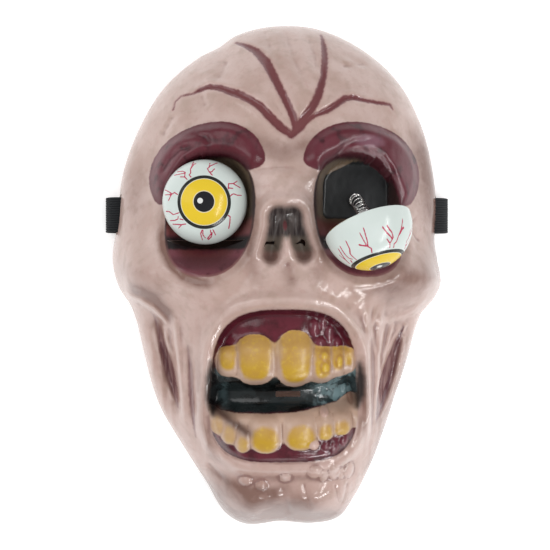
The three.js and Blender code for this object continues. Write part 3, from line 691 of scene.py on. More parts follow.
class Finish(NodeMaker):
    """A material under construction. Its colours are (red, green, blue) as seen, or sockets."""

    def __init__(self, name):
        self.material = bpy.data.materials.new(name)
        self.material.use_nodes = True
        super().__init__(self.material.node_tree)
        self.tree.nodes.clear()
        self.place = self.node("ShaderNodeTexCoord").outputs["Object"]

    def parts(self, vector):
        return [Number(self, part) for part in self.node("ShaderNodeSeparateXYZ", {0: vector}).outputs]

    def attribute(self, name):
        return self.parts(self.node("ShaderNodeAttribute", attribute_name=name).outputs["Vector"])

    def place_mm(self):
        return [part * (1 / MM) for part in self.parts(self.place)]

    def noise(self, hill_mm, detail=2, stretch=(1, 1, 1), shift=0.0):
        moved = self.result("ShaderNodeMapping", {
            "Vector": self.place, "Location": (shift,) * 3, "Scale": stretch})
        return self.number("ShaderNodeTexNoise", {
            "Vector": moved, "Scale": 1 / (hill_mm * MM), "Detail": detail})

    def step(self, value, start, end):
        return self.number("ShaderNodeMapRange", {
            "Value": value, "From Min": start, "From Max": end}, interpolation_type="SMOOTHSTEP")

    def lowest(self, first, second):
        return self.maths("MINIMUM", first, second)

    def highest(self, first, second):
        return self.maths("MAXIMUM", first, second)

    def size(self, value):
        return self.maths("ABSOLUTE", value)

    def blend(self, share, under, over, label=""):
        under, over = (colour(*paint) if isinstance(paint, tuple) else paint for paint in (under, over))
        inputs = {0: share, 6: under, 7: over}
        return self.node("ShaderNodeMix", inputs, data_type="RGBA", label=label).outputs[2]

    def coats(self, base, layers):
        """A base colour under named coats of paint, each with its share and its colour."""
        for name, (share, paint) in layers.items():
            base = self.blend(share, base, paint, name)
        return base

    def surface(self, height, depth_mm, **values):
        bump = self.result("ShaderNodeBump", {"Height": height, "Distance": depth_mm * MM})
        inputs = {name.replace("_", " "): value for name, value in values.items()}
        shader = self.result("ShaderNodeBsdfPrincipled", {**inputs, "Normal": bump})
        self.node("ShaderNodeOutputMaterial", {"Surface": shader})
        return self.material


def row_paint(teeth, x, y, grow, squareness, blend):
    """Distance outside a row of ovals, one on each tooth, that melt together."""
    row = None
    for across, up, half_width, half_height in teeth:
        one = oval_distance(x - across, y - up, half_width + grow[0], half_height + grow[1], squareness)
        row = one if row is None else soft_min(row, one, blend)
    return row


# The yellow on a row of teeth: how far it is brushed up or down, its size in theirs, squareness
UPPER_YELLOW = (3.4, 0.88, 1.12, 3)
LOWER_YELLOW = (-2.4, 0.88, 0.76, 2.2)


def yellow_paint(x, y):
    """Distance outside the yellow brushed on each tooth, low on the lower ones."""
    nearest = np.full(np.shape(x), FAR)
    for teeth, yellow in ((UPPER_TEETH, UPPER_YELLOW), (LOWER_TEETH, LOWER_YELLOW)):
        shift, wide, tall, squareness = yellow
        for across, up, half_width, half_height in teeth:
            dx, dy = x - across, y - up - shift
            one = oval_distance(dx, dy, half_width * wide, half_height * tall, squareness)
            nearest = np.minimum(nearest, one)
    return nearest


# The black gap's lower edge across the mouth: across and up
BAND_EDGE = [
    (-34, -61.5), (-29, -64.5), (-22, -65.3), (-8, -65), (5, -64.5), (12, -63.6), (20, -62),
    (27, -60.8), (34, -56.5),
]
# Airbrushed brown strokes, partly a brown tint and partly painted shade under the cheekbones,
# along the chin's lower edge, at the temples and in the notch by the lower teeth: strength, width
# and route
BROWN_STROKES = [
    (1.2, 3, [(-77, -5.5), (-68, -8), (-60.5, -12), (-55.5, -18), (-52.5, -25)]),
    (0.3, 6, [(-84, 4), (-72, 0), (-60, -5), (-54, -12)]),
    (0.5, 3.4, [(-66, -19), (-60, -30), (-57, -44), (-52, -62), (-50, -72)]),
    (0.5, 2.4, [(-39, -32), (-39, -52), (-38.5, -70), (-33, -88), (-22, -95)]),
    (0.6, 9, [(80, 4), (66, -4), (54, -8), (44, -14)]),
    (0.4, 3, [(66, -24), (60, -44), (52, -66), (47, -84)]),
    (0.6, 2.6, [(38.5, -36), (39.5, -60), (39, -84)]),
    (0.6, 2.6, [(-40, -96), (-28, -99), (-18, -103), (-4, -104), (10, -100)]),
    (0.6, 7, [(-38, -102), (-24, -106), (-8, -109), (8, -112), (22, -112)]),
    (1.5, 7, [
        (-50, -94), (-38, -112), (-29, -121), (-17, -127), (0, -126), (18, -127), (31, -123), (40, -110),
    ]),
    (0.5, 9, [(-26, -112), (-8, -116), (10, -117), (28, -112)]),
    (0.9, 9, [(62, 78), (74, 62), (82, 44), (84, 24), (84, 6), (78, -10)]),
    (0.8, 4, [(74, -28), (66, -50), (58, -72), (50, -94), (42, -110)]),
    (0.6, 5, [(-24, 68), (-12, 62), (0, 57), (12, 61), (20, 68)]),
    (0.5, 4, [(-15, 40), (-16, 24), (-15, 6), (-11, -8)]),
    (0.4, 4, [(18, 40), (18, 24), (18, 6), (14, -8)]),
    (0.4, 3.5, [(2, 8), (3, 0), (5, -8)]),
    (1.1, 2.6, [(-58, 28), (-55.5, 14), (-51, 5), (-46, -0.5), (-38, -4), (-26, -4.5)]),
    (0.9, 2.2, [(-36, -60.5), (-30, -64.5), (-24, -68.5), (-17, -73), (-12, -76)]),
    (0.4, 3.5, [(66, 6), (54, -4), (40, -8), (28, -6)]),
]
DARK_STROKES = [
    [(57.5, -48, 0.1), (56, -54, 0.6), (53.5, -60, 0.9), (50.8, -66.5, 0.4)],
    [(62.5, -26, 0.1), (60, -33, 0.3), (58.5, -39, 0.1)],
    [(-59.5, -34, 0.1), (-57, -43, 0.2), (-54.5, -54, 0.1)],
]
# Where the sides of the mouth fall away in shadow: black, brushed past the teeth
CORNER_STROKES = [
    [(-32.8, -41, 0.4), (-32.9, -48, 2.3), (-33, -59, 2.6), (-32.6, -66, 0.6)],
    [(36.8, -42, 0.3), (37.4, -49, 2), (37.2, -57, 2.2), (36.4, -63, 0.4)],
]


def lump_distance(lumps, x, y):
    """Distance outside the nearest of some round lumps."""
    nearest = np.full(np.shape(x), FAR)
    for across, up, wide, tall, _ in lumps:
        nearest = np.minimum(nearest, oval_distance(x - across, y - up, wide, tall, 2))
    return nearest


def hollowness(x, y, *reaches):
    """How far the carved surface lies below its surroundings at each reach, negative on ridges."""
    spacing = 0.5
    columns, rows = np.arange(-92, 92, spacing), np.arange(-138, 138, spacing)
    heights = carved_height(*np.meshgrid(columns, rows))
    u, v = (x - columns[0]) / spacing, (y - rows[0]) / spacing
    column, row = np.floor(u).astype(int), np.floor(v).astype(int)
    s, t = u - column, v - row
    found = []
    for reach in reaches:
        turns = np.arange(8) * np.pi / 4
        steps = [(round(reach / spacing * math.sin(a)), round(reach / spacing * math.cos(a))) for a in turns]
        below = sum(np.roll(heights, step, (0, 1)) for step in steps) / len(steps) - heights
        lower = below[row, column] * (1 - s) + below[row, column + 1] * s
        upper = below[row + 1, column] * (1 - s) + below[row + 1, column + 1] * s
        found.append(lower * (1 - t) + upper * t)
    return found


# The shell's attributes, each with the three fields that it carries for the paint to follow
PAINT_FIELDS = {
    "socket_paint": ("lid", "opening", "floor"),
    "mouth_paint": ("lips", "tooth", "yellow"),
    "dark_paint": ("gap", "nose", "vein"),
    "airbrush": ("brown", "leaf", "dark_streak"),
    "lump_paint": ("lobes", "gum_lump", "tooth_lump"),
    # Where the paint puts painted shade in grooves, hollows and the mouth's corners, and a painted highlight
    # on ridges
    "painted_shade_and_highlight": ("groove", "hollow", "corner"),
}


def paint_fields(x, y):
    """What the brush followed, by place on the face: distances in millimetres and strengths."""
    u = x - FACE_AXIS
    across = np.abs(u)
    band_edge = np.interp(x, *zip(*BAND_EDGE))
    lower_row_middle = -73
    upper = row_paint(UPPER_TEETH, x, y, (1.4, 0.4), 2.3, 4.5)
    lower = np.minimum(row_paint(LOWER_TEETH, x, y, (0.9, 0.4), 2.2, 2.4), lower_row_middle - y)
    lower = np.where(y > lower_row_middle, lower_row_middle - y, lower)
    lower = np.maximum(lower, y - band_edge)
    nose_corner = (SOCKET_ACROSS - 5 - across) * 0.45 + (y - 54) * 0.9
    brown = strokes_height(BROWN_STROKES, x, y)
    # Brown round the sockets, painted shade, and at the temples, partly painted shade
    brown += 0.35 * bell(socket_opening(u, y), 3.5) + 0.4 * swelling((1, 74, 40, 8, 16, 0), across, y)
    share = np.hypot(x, y) / rim_reach(np.arctan2(y, x))
    # How sunk each place is: painted shade goes in grooves and hollows, a painted highlight on ridges
    groove, hollow = (below * smooth_step(1, 0.94, share) for below in hollowness(x, y, 1.6, 4))
    return {
        "lid": lid_distance(u, y), "opening": socket_opening(u, y),
        "floor": np.maximum(socket_floor(across, y), nose_corner),
        "lips": mouth_opening(u, y), "tooth": np.minimum(upper, lower), "yellow": yellow_paint(x, y),
        "gap": np.maximum(y + 44, band_edge - y), "nose": nose_distance(u, y),
        "vein": nearest_stroke(VEINS.values(), x, y)[0],
        "brown": brown, "leaf": nearest_stroke(LEAVES.values(), x, y)[0],
        "dark_streak": nearest_stroke(DARK_STROKES, x, y)[0],
        "lobes": lump_distance(NOSE_LOBES, x, y),
        "gum_lump": lump_distance(GUM_LUMPS, x, y), "tooth_lump": lump_distance(TOOTH_LUMPS, x, y),
        "groove": groove, "hollow": hollow, "corner": nearest_stroke(CORNER_STROKES, x, y)[0],
    }


def brush_guides(finish):
    """The fields that the paint follows, the place in millimetres, and the noises, by name."""
    on = SimpleNamespace()
    for attribute, names in PAINT_FIELDS.items():
        for name, part in zip(names, finish.attribute(attribute)):
            setattr(on, name, part)
    on.x, on.y, _ = finish.place_mm()
    on.mottle = finish.noise(16, 4)
    on.patch = finish.noise(6, 3, shift=3.0)
    on.wobble = (finish.noise(2.4, 3, shift=7.0) - 0.5) * 1.6
    on.speckle = finish.noise(2.2, 4, shift=11.0)
    on.streaks = finish.noise(1.5, 3, stretch=(1, 0.12, 0.12), shift=5.0)
    return on


def nose_paint(finish, on):
    """The dark in the nose, and the share that it takes of the skin."""
    step = finish.step
    paint = finish.blend(step(on.streaks, 0.38, 0.6), (56, 51, 52), (96, 89, 87))
    paint = finish.blend(step(on.y, 19.5, 16.5), paint, (112, 103, 93))
    fork = ((on.x - 1.5) ** 2 + ((on.y - 22) * 0.7) ** 2) ** 0.5 - 4.2
    share = step(finish.lowest(on.nose, fork) + on.wobble * 0.6, 0.8, -1.8)
    return share * step(on.y, 9.5, 12.5) * 0.95, paint


def skin_paint(finish, on, away):
    """Skin with its airbrushed brown, painted shade in hollows and grooves and a painted highlight on
    ridges, and the veins, bared muscle and nose painted on it.
    """
    step, wobble = finish.step, on.wobble
    # How strong the painted highlight on ridges is: most on the cheeks
    ridge_highlight_strength = step(on.y, 8, -14) * step(on.y, -94, -86) * 0.4 + 0.04
    flesh = finish.blend(step(on.streaks, 0.4, 0.6), (152, 120, 118), (118, 78, 80))
    red_spot = ((on.x - 1.2) ** 2 + ((on.y - 23) * 0.4) ** 2) ** 0.5
    base = finish.blend(step(on.mottle, 0.35, 0.65), (210, 184, 176), (196, 168, 158))
    return finish.coats(base, {
        "pinker below": (step(on.y, 20, -60) * 0.55, (200, 166, 156)),
        "tan patches": (step(on.patch, 0.48, 0.7) * 0.4, (176, 150, 136)),
        "pink speckle": (step(on.speckle, 0.52, 0.72) * 0.35, (196, 158, 150)),
        # Airbrushed brown, partly a tint and partly painted shade
        "brown airbrush and shade": (finish.lowest(on.brown * (on.patch + 0.55), 1.0), (136, 104, 94)),
        # Painted shade in hollows and grooves, and a painted highlight on ridges
        "hollows": (step(on.hollow, 0.3, 2.4) * 0.45, (146, 108, 100)),
        "grooves": (step(on.groove, 0.05, 0.5) * away * 0.6, (130, 94, 88)),
        "painted highlight on ridges": (step(on.groove, -0.08, -0.5) * ridge_highlight_strength * away, (224, 202, 194)),
        "vein halo": (step(on.vein + wobble, 1.7, 0.4) * 0.3, (196, 150, 146)),
        "veins": (step(on.vein + wobble * 0.7, 0.9, -0.2) * 0.92, (110, 48, 54)),
        "bared muscle": (step(on.leaf + wobble * 0.6, 0.7, -0.9) * 0.88, flesh),
        "dark streaks": (step(on.dark_streak + wobble * 0.4, 0.9, -0.4) * 0.85, (88, 44, 54)),
        "nose lobes": (step(on.lobes + wobble, 1.6, -1.8) * 0.7, (132, 104, 95)),
        "nose": nose_paint(finish, on),
        "red spot": (step(red_spot, 1.3, 0.6) * 0.8, (120, 62, 66)),
    })


def wine_paint(finish, on, away):
    """The wine red of the lids, with painted shade in grooves and along the socket's edge, and a painted
    lavender highlight on the right one.
    """
    step = finish.step
    # A painted lavender highlight on the right lid
    lid_highlight = ((on.x - 42) * 0.12) ** 2 + ((on.y - 63.5) * 0.28) ** 2
    return finish.coats(finish.blend(step(on.mottle, 0.3, 0.7), (92, 28, 40), (108, 46, 58)), {
        "dark patches": (step(on.patch, 0.5, 0.7), (70, 22, 32)),
        # Painted shade in grooves and along the socket's edge
        "grooves": (step(on.groove, 0.03, 0.4) * away * 0.5, (54, 18, 26)),
        "edge": (step(on.opening, 3.2, 0) * 0.6, (56, 26, 32)),
        "lid_highlight": (step(lid_highlight + on.wobble * 0.3, 1.3, 0) * 0.5, (158, 116, 132)),
    })


def socket_paint(finish, on):
    """The sockets: a wall above painted dark brown, partly as shade, a red cup with the sight slit below,
    black painted round the slit as shade, and a black floor.
    """
    step, y, wobble = finish.step, on.y, on.wobble
    nose_side = step(finish.size(on.x - FACE_AXIS), 46, 38)
    # The wall is painted dark brown, partly as shade, and beige low on the nose side
    wall = finish.blend(step(on.floor + wobble, 6, 3) * nose_side, (58, 36, 35), (134, 114, 94))
    cup = finish.coats(finish.blend(step(on.opening + wobble, -8, -3), (92, 42, 44), (114, 58, 68)), {
        "dark patches": (step(on.patch, 0.5, 0.7), (86, 38, 46)),
        "red-brown top": (step(y, 15, 25) * 0.65, (128, 76, 64)),
        "dark band": (step(y, 10, 7) * step(y, 1, 4) * 0.5, (72, 30, 38)),
        # Painted shade: black round the sight slit, so that it reads dark
        "painted shade round the slit": (step(y + wobble, 11, 13) * step(y, 20, 17), (30, 20, 22)),
    })
    edge = finish.blend(step(y, 18, 6), (56, 34, 34), (134, 90, 88))
    return finish.coats(finish.blend(step(y, 29, 24), wall, cup), {
        "edge": (step(on.opening + wobble * 0.4, -1.5, -0.4) * 0.8, edge),
        "floor": (step(on.floor + wobble * 0.4, 0.5, -0.1), (38, 40, 42)),
    })


def mouth_paint(finish, on, on_tooth):
    """The gums, the black gap, and the teeth in beige with yellow brushed over them, with painted shade in
    grooves, beneath the lips and round lumps, and a painted reflection on the gap.
    """
    step, x, y, wobble = finish.step, on.x, on.y, on.wobble
    gum = finish.coats(finish.blend(step(on.patch, 0.4, 0.7), (102, 34, 48), (76, 22, 32)), {
        # Lighter pink on the gum lumps, partly a painted highlight
        "lumps": (step(on.gum_lump + wobble, 0.8, -1.8) * 0.25, (146, 84, 98)),
        # Painted shade in grooves and beneath the lips
        "grooves": (step(on.groove, 0.03, 0.5) * 0.45, (56, 18, 28)),
        "painted shade under the lips": (step(on.lips + wobble * 0.5, -3.2, -1.2) * 0.7, (66, 24, 32)),
    })
    beige = finish.coats(finish.blend(step(on.mottle, 0.3, 0.7), (208, 178, 160), (190, 158, 138)), {
        "tan above": (step(y, -44, -31) * step(y, -56, -50) * 0.8, (192, 154, 98)),
        # Painted shade in grooves
        "grooves": (step(on.groove, 0.1, 0.7) * 0.7, (140, 104, 88)),
    })
    low_on_tooth = finish.highest(step(y, -34, -46) * step(y, -56, -54), step(y, -70, -78))
    gold = finish.coats(finish.blend(low_on_tooth, (196, 154, 84), (200, 158, 44)), {
        "tan patches": (step(on.patch, 0.45, 0.7) * 0.5, (186, 140, 66)),
        "bright speckle": (step(on.speckle, 0.5, 0.7) * 0.4, (218, 184, 62)),
    })
    # A painted blue-green reflection on the black gap, at its right end and a little at its left
    painted_reflection_share = finish.highest(step(x + wobble * 4, 10, 26), step(x + wobble * 3, -24, -29) * 0.35)
    painted_reflection = finish.blend(step(on.patch, 0.45, 0.6), (42, 54, 56), (118, 142, 146))
    black = finish.blend(step(on.mottle, 0.5, 0.6), (9, 10, 10), (32, 38, 39))
    black = finish.blend(painted_reflection_share, black, painted_reflection)
    brushed = 1.0 - step(x, -12, -22) * step(y, -56, -62) * 0.5
    lower_wart = ((x - 15) ** 2 + (y + 79.5) ** 2) ** 0.5 - 2.4
    upper_wart = ((x - 20) ** 2 + (y + 64.5) ** 2) ** 0.5 - 2
    # Painted shade: an orange-brown ring round the blisters on the teeth
    lump_edge_shade = step(on.tooth_lump + wobble * 0.4, 0.9, -0.1) * step(on.tooth_lump, -1.1, -0.2)
    return finish.coats(finish.blend(step(on.gap + wobble, 1.0, -1.0), gum, black), {
        "teeth": (on_tooth, beige),
        "yellow": (step(on.yellow + wobble, 0.8, -1.8) * on_tooth * brushed, gold),
        "warts": (step(finish.lowest(lower_wart, upper_wart), 0.4, -0.4), (206, 172, 160)),
        "painted shade at lump edges": (lump_edge_shade * 0.35, (174, 118, 72)),
        "lumps": (step(on.tooth_lump, -0.4, -1.6) * 0.6, (218, 180, 48)),
        # Airbrushed brown low in the mouth, painted shade
        "brown airbrush and shade": (finish.lowest(on.brown, 1.0) * step(y, -60, -64), (84, 58, 50)),
    })


def painted_skin():
    finish = Finish("painted_skin")
    step, on = finish.step, brush_guides(finish)
    wobble = on.wobble
    away = step(finish.size(on.lid), 0.6, 2.6) * step(finish.size(on.opening), 0.6, 2.6)
    on_tooth = step(on.tooth + wobble * 0.5, 0.4, -0.4)
    body = finish.coats(skin_paint(finish, on, away), {
        "sockets": (step(on.opening + wobble * 0.3, 0.3, -0.3), socket_paint(finish, on)),
        "lids": (step(on.lid + wobble * 0.5, 0.35, -0.35), wine_paint(finish, on, away)),
        "mouth": (step(on.lips + wobble * 0.6, -0.5, -1.3), mouth_paint(finish, on, on_tooth)),
        "mouth's corners": (step(on.corner + wobble * 0.6, 2.6, -1.4) * 0.95, (20, 15, 16)),
    })
    satin = finish.highest(step(on.opening, 0.3, -0.3), step(on.lid, 0.3, -0.3))
    satin = finish.highest(satin, step(on.lips, 0.3, -0.3) * on_tooth)
    rough = 0.13 + satin * 0.16 + on.patch * 0.12
    grain = finish.noise(0.9, 2) * 0.4 + on.patch
    return finish.surface(grain, 0.12, Base_Color=body, Roughness=rough, Specular_IOR_Level=0.42)


def bare_plastic():
    finish = Finish("bare_plastic")
    cloud = finish.noise(20, 2)
    body = finish.blend(cloud, (205, 178, 165), (192, 162, 150))
    return finish.surface(finish.noise(2.5, 3), 0.08, Base_Color=body, Roughness=cloud * 0.2 + 0.38)


def gathered(blocks):
    """The points and faces of several blocks as those of one mesh."""
    all_points, all_faces = [], []
    for points, faces in blocks:
        all_faces += [tuple(i + len(all_points) for i in face) for face in faces]
        all_points += points
    return all_points, all_faces


def combine(target, operation, blocks, finish_number):
    """Cuts, or joins on, closed blocks whose faces get the numbered finish."""
    points, faces = gathered(blocks)
    tool = new_object("tool", points, faces)
    for finish in finishes:
        tool.data.materials.append(finish)
    tool.data.polygons.foreach_set("material_index", np.full(len(faces), finish_number))
    step = target.modifiers.new(operation.lower(), "BOOLEAN")
    step.object, step.operation, step.solver = tool, operation, "MANIFOLD"
    return tool


def read_all(items, name, kind=int, width=1):
    """One property of all vertices, loops, edges or faces of a mesh, as an array."""
    values = np.zeros(len(items) * width, kind)
    items.foreach_get(name, values)
    return values


def mark_paint_edges(mesh):
    """A sharp edge wherever the painted face meets a bare cut edge."""
    finish_by_face = read_all(mesh.polygons, "material_index")
    finish_by_loop = np.repeat(finish_by_face, read_all(mesh.polygons, "loop_total"))
    edges = read_all(mesh.loops, "edge_index")
    lowest, highest = np.ones(len(mesh.edges), int), np.zeros(len(mesh.edges), int)
    np.minimum.at(lowest, edges, finish_by_loop)
    np.maximum.at(highest, edges, finish_by_loop)
    sharp = mesh.attributes.new("sharp_edge", "BOOLEAN", "EDGE")
    sharp.data.foreach_set("value", lowest != highest)


def carry_vectors(target, name, parts):
    """Keeps three values for each point of an object, as an attribute that a material reads."""
    attribute = target.data.attributes.new(name, "FLOAT_VECTOR", "POINT")
    attribute.data.foreach_set("vector", np.column_stack(parts).ravel())


finishes = [painted_skin(), bare_plastic()]
for finish in finishes:
    shell.data.materials.append(finish)
tools = [combine(shell, "DIFFERENCE", cuts, BARE), combine(shell, "UNION", studs, PAINTED)]
shell = plain_mesh(shell, "painted_shell")
for tool in tools:
    bpy.data.objects.remove(tool)

places = read_all(shell.data.vertices, "co", float, 3).reshape(-1, 3) / MM
fields = paint_fields(places[:, 0], places[:, 1])
for attribute_name, names in PAINT_FIELDS.items():
    carry_vectors(shell, attribute_name, [fields[name] for name in names])
shell.data.shade_smooth()
mark_paint_edges(shell.data)
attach(shell, "mask")
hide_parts("mask_shell")

# Each eye is half a white plastic ball, open behind, with a printed iris and red vessels and a
# short stub inside that grips its spring. The left one looks straight out; the right one droops.
EYE_RADIUS = 20
EYE_WALL = 1
STUB_RADIUS, STUB_LENGTH = 2, 8
LEFT_EYE = Vector((-36.2, 34.4, 56))
RIGHT_EYE = Vector((38, 22, 79.5))
RIGHT_GAZE = Vector((0.291, -0.907, 0.307)).normalized()
PRINT_TURN = -60
IRIS_SHIFT = (0.3, -1.2)
# The iris, printed in rings from the outside in: radius and colour
IRIS_RINGS = {
    "black edge": (12.1, (46, 47, 45)),
    "pale line": (10.6, (240, 238, 214)),
    "yellow iris": (10.35, (240, 206, 54)),
    "inner line": (4.95, (238, 226, 190)),
    "pupil": (4.6, (36, 36, 40)),
}
PRINT_BLUR = 0.15
OFF_THE_PRINT = 15
# The printed vessels, each a few strokes, in millimetres from the middle of the ball's front
VESSELS = {
    "upper_left": [
        [(-5.7, 10.2), (-6.6, 11.3), (-5.9, 12.3), (-6.1, 14.1), (-5.0, 18.2)],
        [(-6.1, 14.3), (-4.5, 16.9), (-3.8, 17.0)],
    ],
    "left_brow": [
        [(-7.5, 9.2), (-8.7, 10.4), (-8.5, 12.7), (-9.8, 13.4), (-12.4, 13.4)],
        [(-8.5, 12.0), (-9.4, 12.2), (-13.8, 11.8)], [(-8.7, 10.4), (-10.8, 10.6)],
    ],
    "upper_right": [
        [(4.0, 11.1), (2.4, 12.9), (1.7, 14.3), (2.9, 15.7), (6.1, 17.8)],
        [(2.9, 12.7), (3.6, 12.7), (4.9, 14.3)], [(2.4, 15.0), (2.7, 17.2)],
    ],
    "right_high": [
        [(11.2, 4.8), (11.4, 7.4), (13.5, 7.6), (15.3, 9.1)],
        [(13.5, 7.6), (16.7, 6.0)], [(11.5, 5.3), (13.3, 5.3)],
    ],
    "right_middle": [[(12.1, 1.6), (13.5, 2.8), (15.3, 2.3), (17.2, 2.4)], [(12.6, 2.3), (13.9, 2.8)]],
    "left_middle": [
        [(-11.9, 2.3), (-13.3, 3.3), (-14.9, 2.4), (-18.2, 2.8)],
        [(-14.7, 2.8), (-15.8, 3.7), (-18.2, 5.1)], [(-14.9, 2.4), (-16.3, -0.2)],
    ],
    "left_low": [
        [(-11.2, -6.0), (-14.0, -6.7), (-15.8, -5.3), (-17.7, -4.9)],
        [(-11.6, -7.6), (-11.9, -8.8), (-13.3, -9.3), (-15.8, -9.2)],
    ],
    "bottom_left": [
        [(-8.2, -11.1), (-10.3, -11.3), (-14.5, -10.9)],
        [(-10.1, -11.3), (-11.7, -12.7)], [(-9.4, -9.2), (-10.8, -8.8)],
    ],
    "bottom": [
        [(-0.8, -13.9), (-1.5, -15.5), (-0.8, -18.2)], [(-0.4, -13.9), (-0.5, -15.9), (0.6, -17.3)],
        [(3.1, -13.9), (3.3, -15.5), (1.5, -17.6)], [(3.8, -15.0), (3.3, -16.9), (1.9, -18.0)],
        [(4.2, -13.6), (5.3, -15.9)],
    ],
    "right_low": [[(11.2, -7.2), (12.1, -7.6), (11.9, -10.4), (11.4, -12.9)]],
}


def eye_profile():
    """The half ball's section from inside the stub to the pole: distance from the axis, height."""
    inner, middle = EYE_RADIUS - EYE_WALL, EYE_RADIUS - EYE_WALL / 2
    foot, bevel, lip_height = inner - STUB_LENGTH, 0.3, 0.3 * EYE_WALL
    outside = np.linspace(0, np.pi / 2, 91)
    lip = np.linspace(-np.pi, 0, 9)[1:-1]
    inside = np.linspace(math.acos(STUB_RADIUS / inner), 0, 24)
    return (
        [(0, foot), (STUB_RADIUS - bevel, foot), (STUB_RADIUS, foot + bevel)]
        + [(inner * math.cos(a), inner * math.sin(a)) for a in inside]
        + [(middle + EYE_WALL / 2 * math.cos(a), lip_height * math.sin(a)) for a in lip]
        + [(EYE_RADIUS * math.cos(a), EYE_RADIUS * math.sin(a)) for a in outside[:-1]]
        + [(0, EYE_RADIUS)]
    )


def turned(profile, segments):
    """Points and faces of a profile turned about the Z axis; its ends lie on the axis."""
    points = [(0, 0, profile[0][1])]
    for radius, height in profile[1:-1]:
        for angle in np.arange(segments) * 2 * np.pi / segments:
            points.append((radius * math.cos(angle), radius * math.sin(angle), height))
    points.append((0, 0, profile[-1][1]))
    last = len(points) - 1
    faces = []
    for segment in range(segments):
        after = (segment + 1) % segments
        faces.append((0, 1 + after, 1 + segment))
        for ring in range(len(profile) - 3):
            low, high = 1 + ring * segments, 1 + (ring + 1) * segments
            faces.append((low + segment, low + after, high + after, high + segment))
        top = 1 + (len(profile) - 3) * segments
        faces.append((top + segment, top + after, last))
    return np.array(points), faces


def eye_finish():
    finish = Finish("printed_eye")
    x, y, vessel = finish.attribute("eye_print")
    reach = ((x - IRIS_SHIFT[0]) ** 2 + (y - IRIS_SHIFT[1]) ** 2) ** 0.5
    glint = ((x + 1.4) ** 2 + (y + 0.8) ** 2) ** 0.5
    cloud = finish.noise(8, 2)
    thread = (finish.noise(1.1, 2) - 0.5) * 0.25
    coats = {"vessels": (finish.step(vessel + thread, 0.34, 0.16), (190, 44, 84))}
    for name, (radius, paint) in IRIS_RINGS.items():
        coats[name] = (finish.step(reach, radius + PRINT_BLUR, radius), paint)
    coats["glint"] = (finish.step(glint, 1.35, 1.2), (232, 234, 232))
    body = finish.coats(finish.blend(cloud, (226, 235, 231), (216, 227, 222)), coats)
    rough = cloud * 0.06 + 0.18
    return finish.surface(finish.noise(5, 2), 0.03, Base_Color=body, Roughness=rough, Specular_IOR_Level=0.2)


def add_eyeball(name, body, centre, right, up, gaze):
    """A half ball whose pole looks along the gaze, with its print turned to right and up."""
    points, faces = turned(eye_profile(), 256)
    in_front = np.linalg.norm(points, axis=1) > EYE_RADIUS - 0.01
    strokes = [stroke for vessel in VESSELS.values() for stroke in vessel]
    vessel = np.min([along_route(stroke, points[:, 0], points[:, 1])[0] for stroke in strokes], axis=0)
    vessel = np.where(in_front, vessel, OFF_THE_PRINT)
    print_x, print_y = np.where(in_front, points[:, :2].T, OFF_THE_PRINT)
    eyeball = new_object(name, points @ np.array([right, up, gaze]) + np.array(centre), faces)
    carry_vectors(eyeball, "eye_print", [print_x, print_y, vessel])
    eyeball.data.materials.append(printed_eye)
    eyeball.data.shade_smooth()
    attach(eyeball, body)
    return eyeball


printed_eye = eye_finish()
left_eyeball = add_eyeball("left_eye_dome", "left_eye", LEFT_EYE, (1, 0, 0), (0, 1, 0), (0, 0, 1))
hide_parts("left_eyeball")
side_way = RIGHT_GAZE.cross(Vector((0, 0, 1))).normalized() * -1
view_way = side_way.cross(RIGHT_GAZE).normalized() * -1
print_angle = math.radians(PRINT_TURN)
print_right = side_way * math.cos(print_angle) + view_way * math.sin(print_angle)
print_up = RIGHT_GAZE.cross(print_right)
right_eyeball = add_eyeball("right_eye_dome", "right_eye", RIGHT_EYE, print_right, print_up, RIGHT_GAZE)
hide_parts("right_eyeball")

# Each eye stands on a coil spring of thin steel wire, pressed over a stud on the socket's floor
# and over the stub inside the ball, so the eye wobbles.
SPRING_RADIUS = 3.02
WIRE_RADIUS = 0.25
WIRE_SIDES = 8
STEPS_IN_A_TURN = 24
FIT_GAP = 0.3
LEFT_PITCH, RIGHT_PITCH = 2.1, 2
# The pulled-out spring rises, and then bends over here towards the drooping eye
ELBOW = np.array((40.6, 29.4, 45))


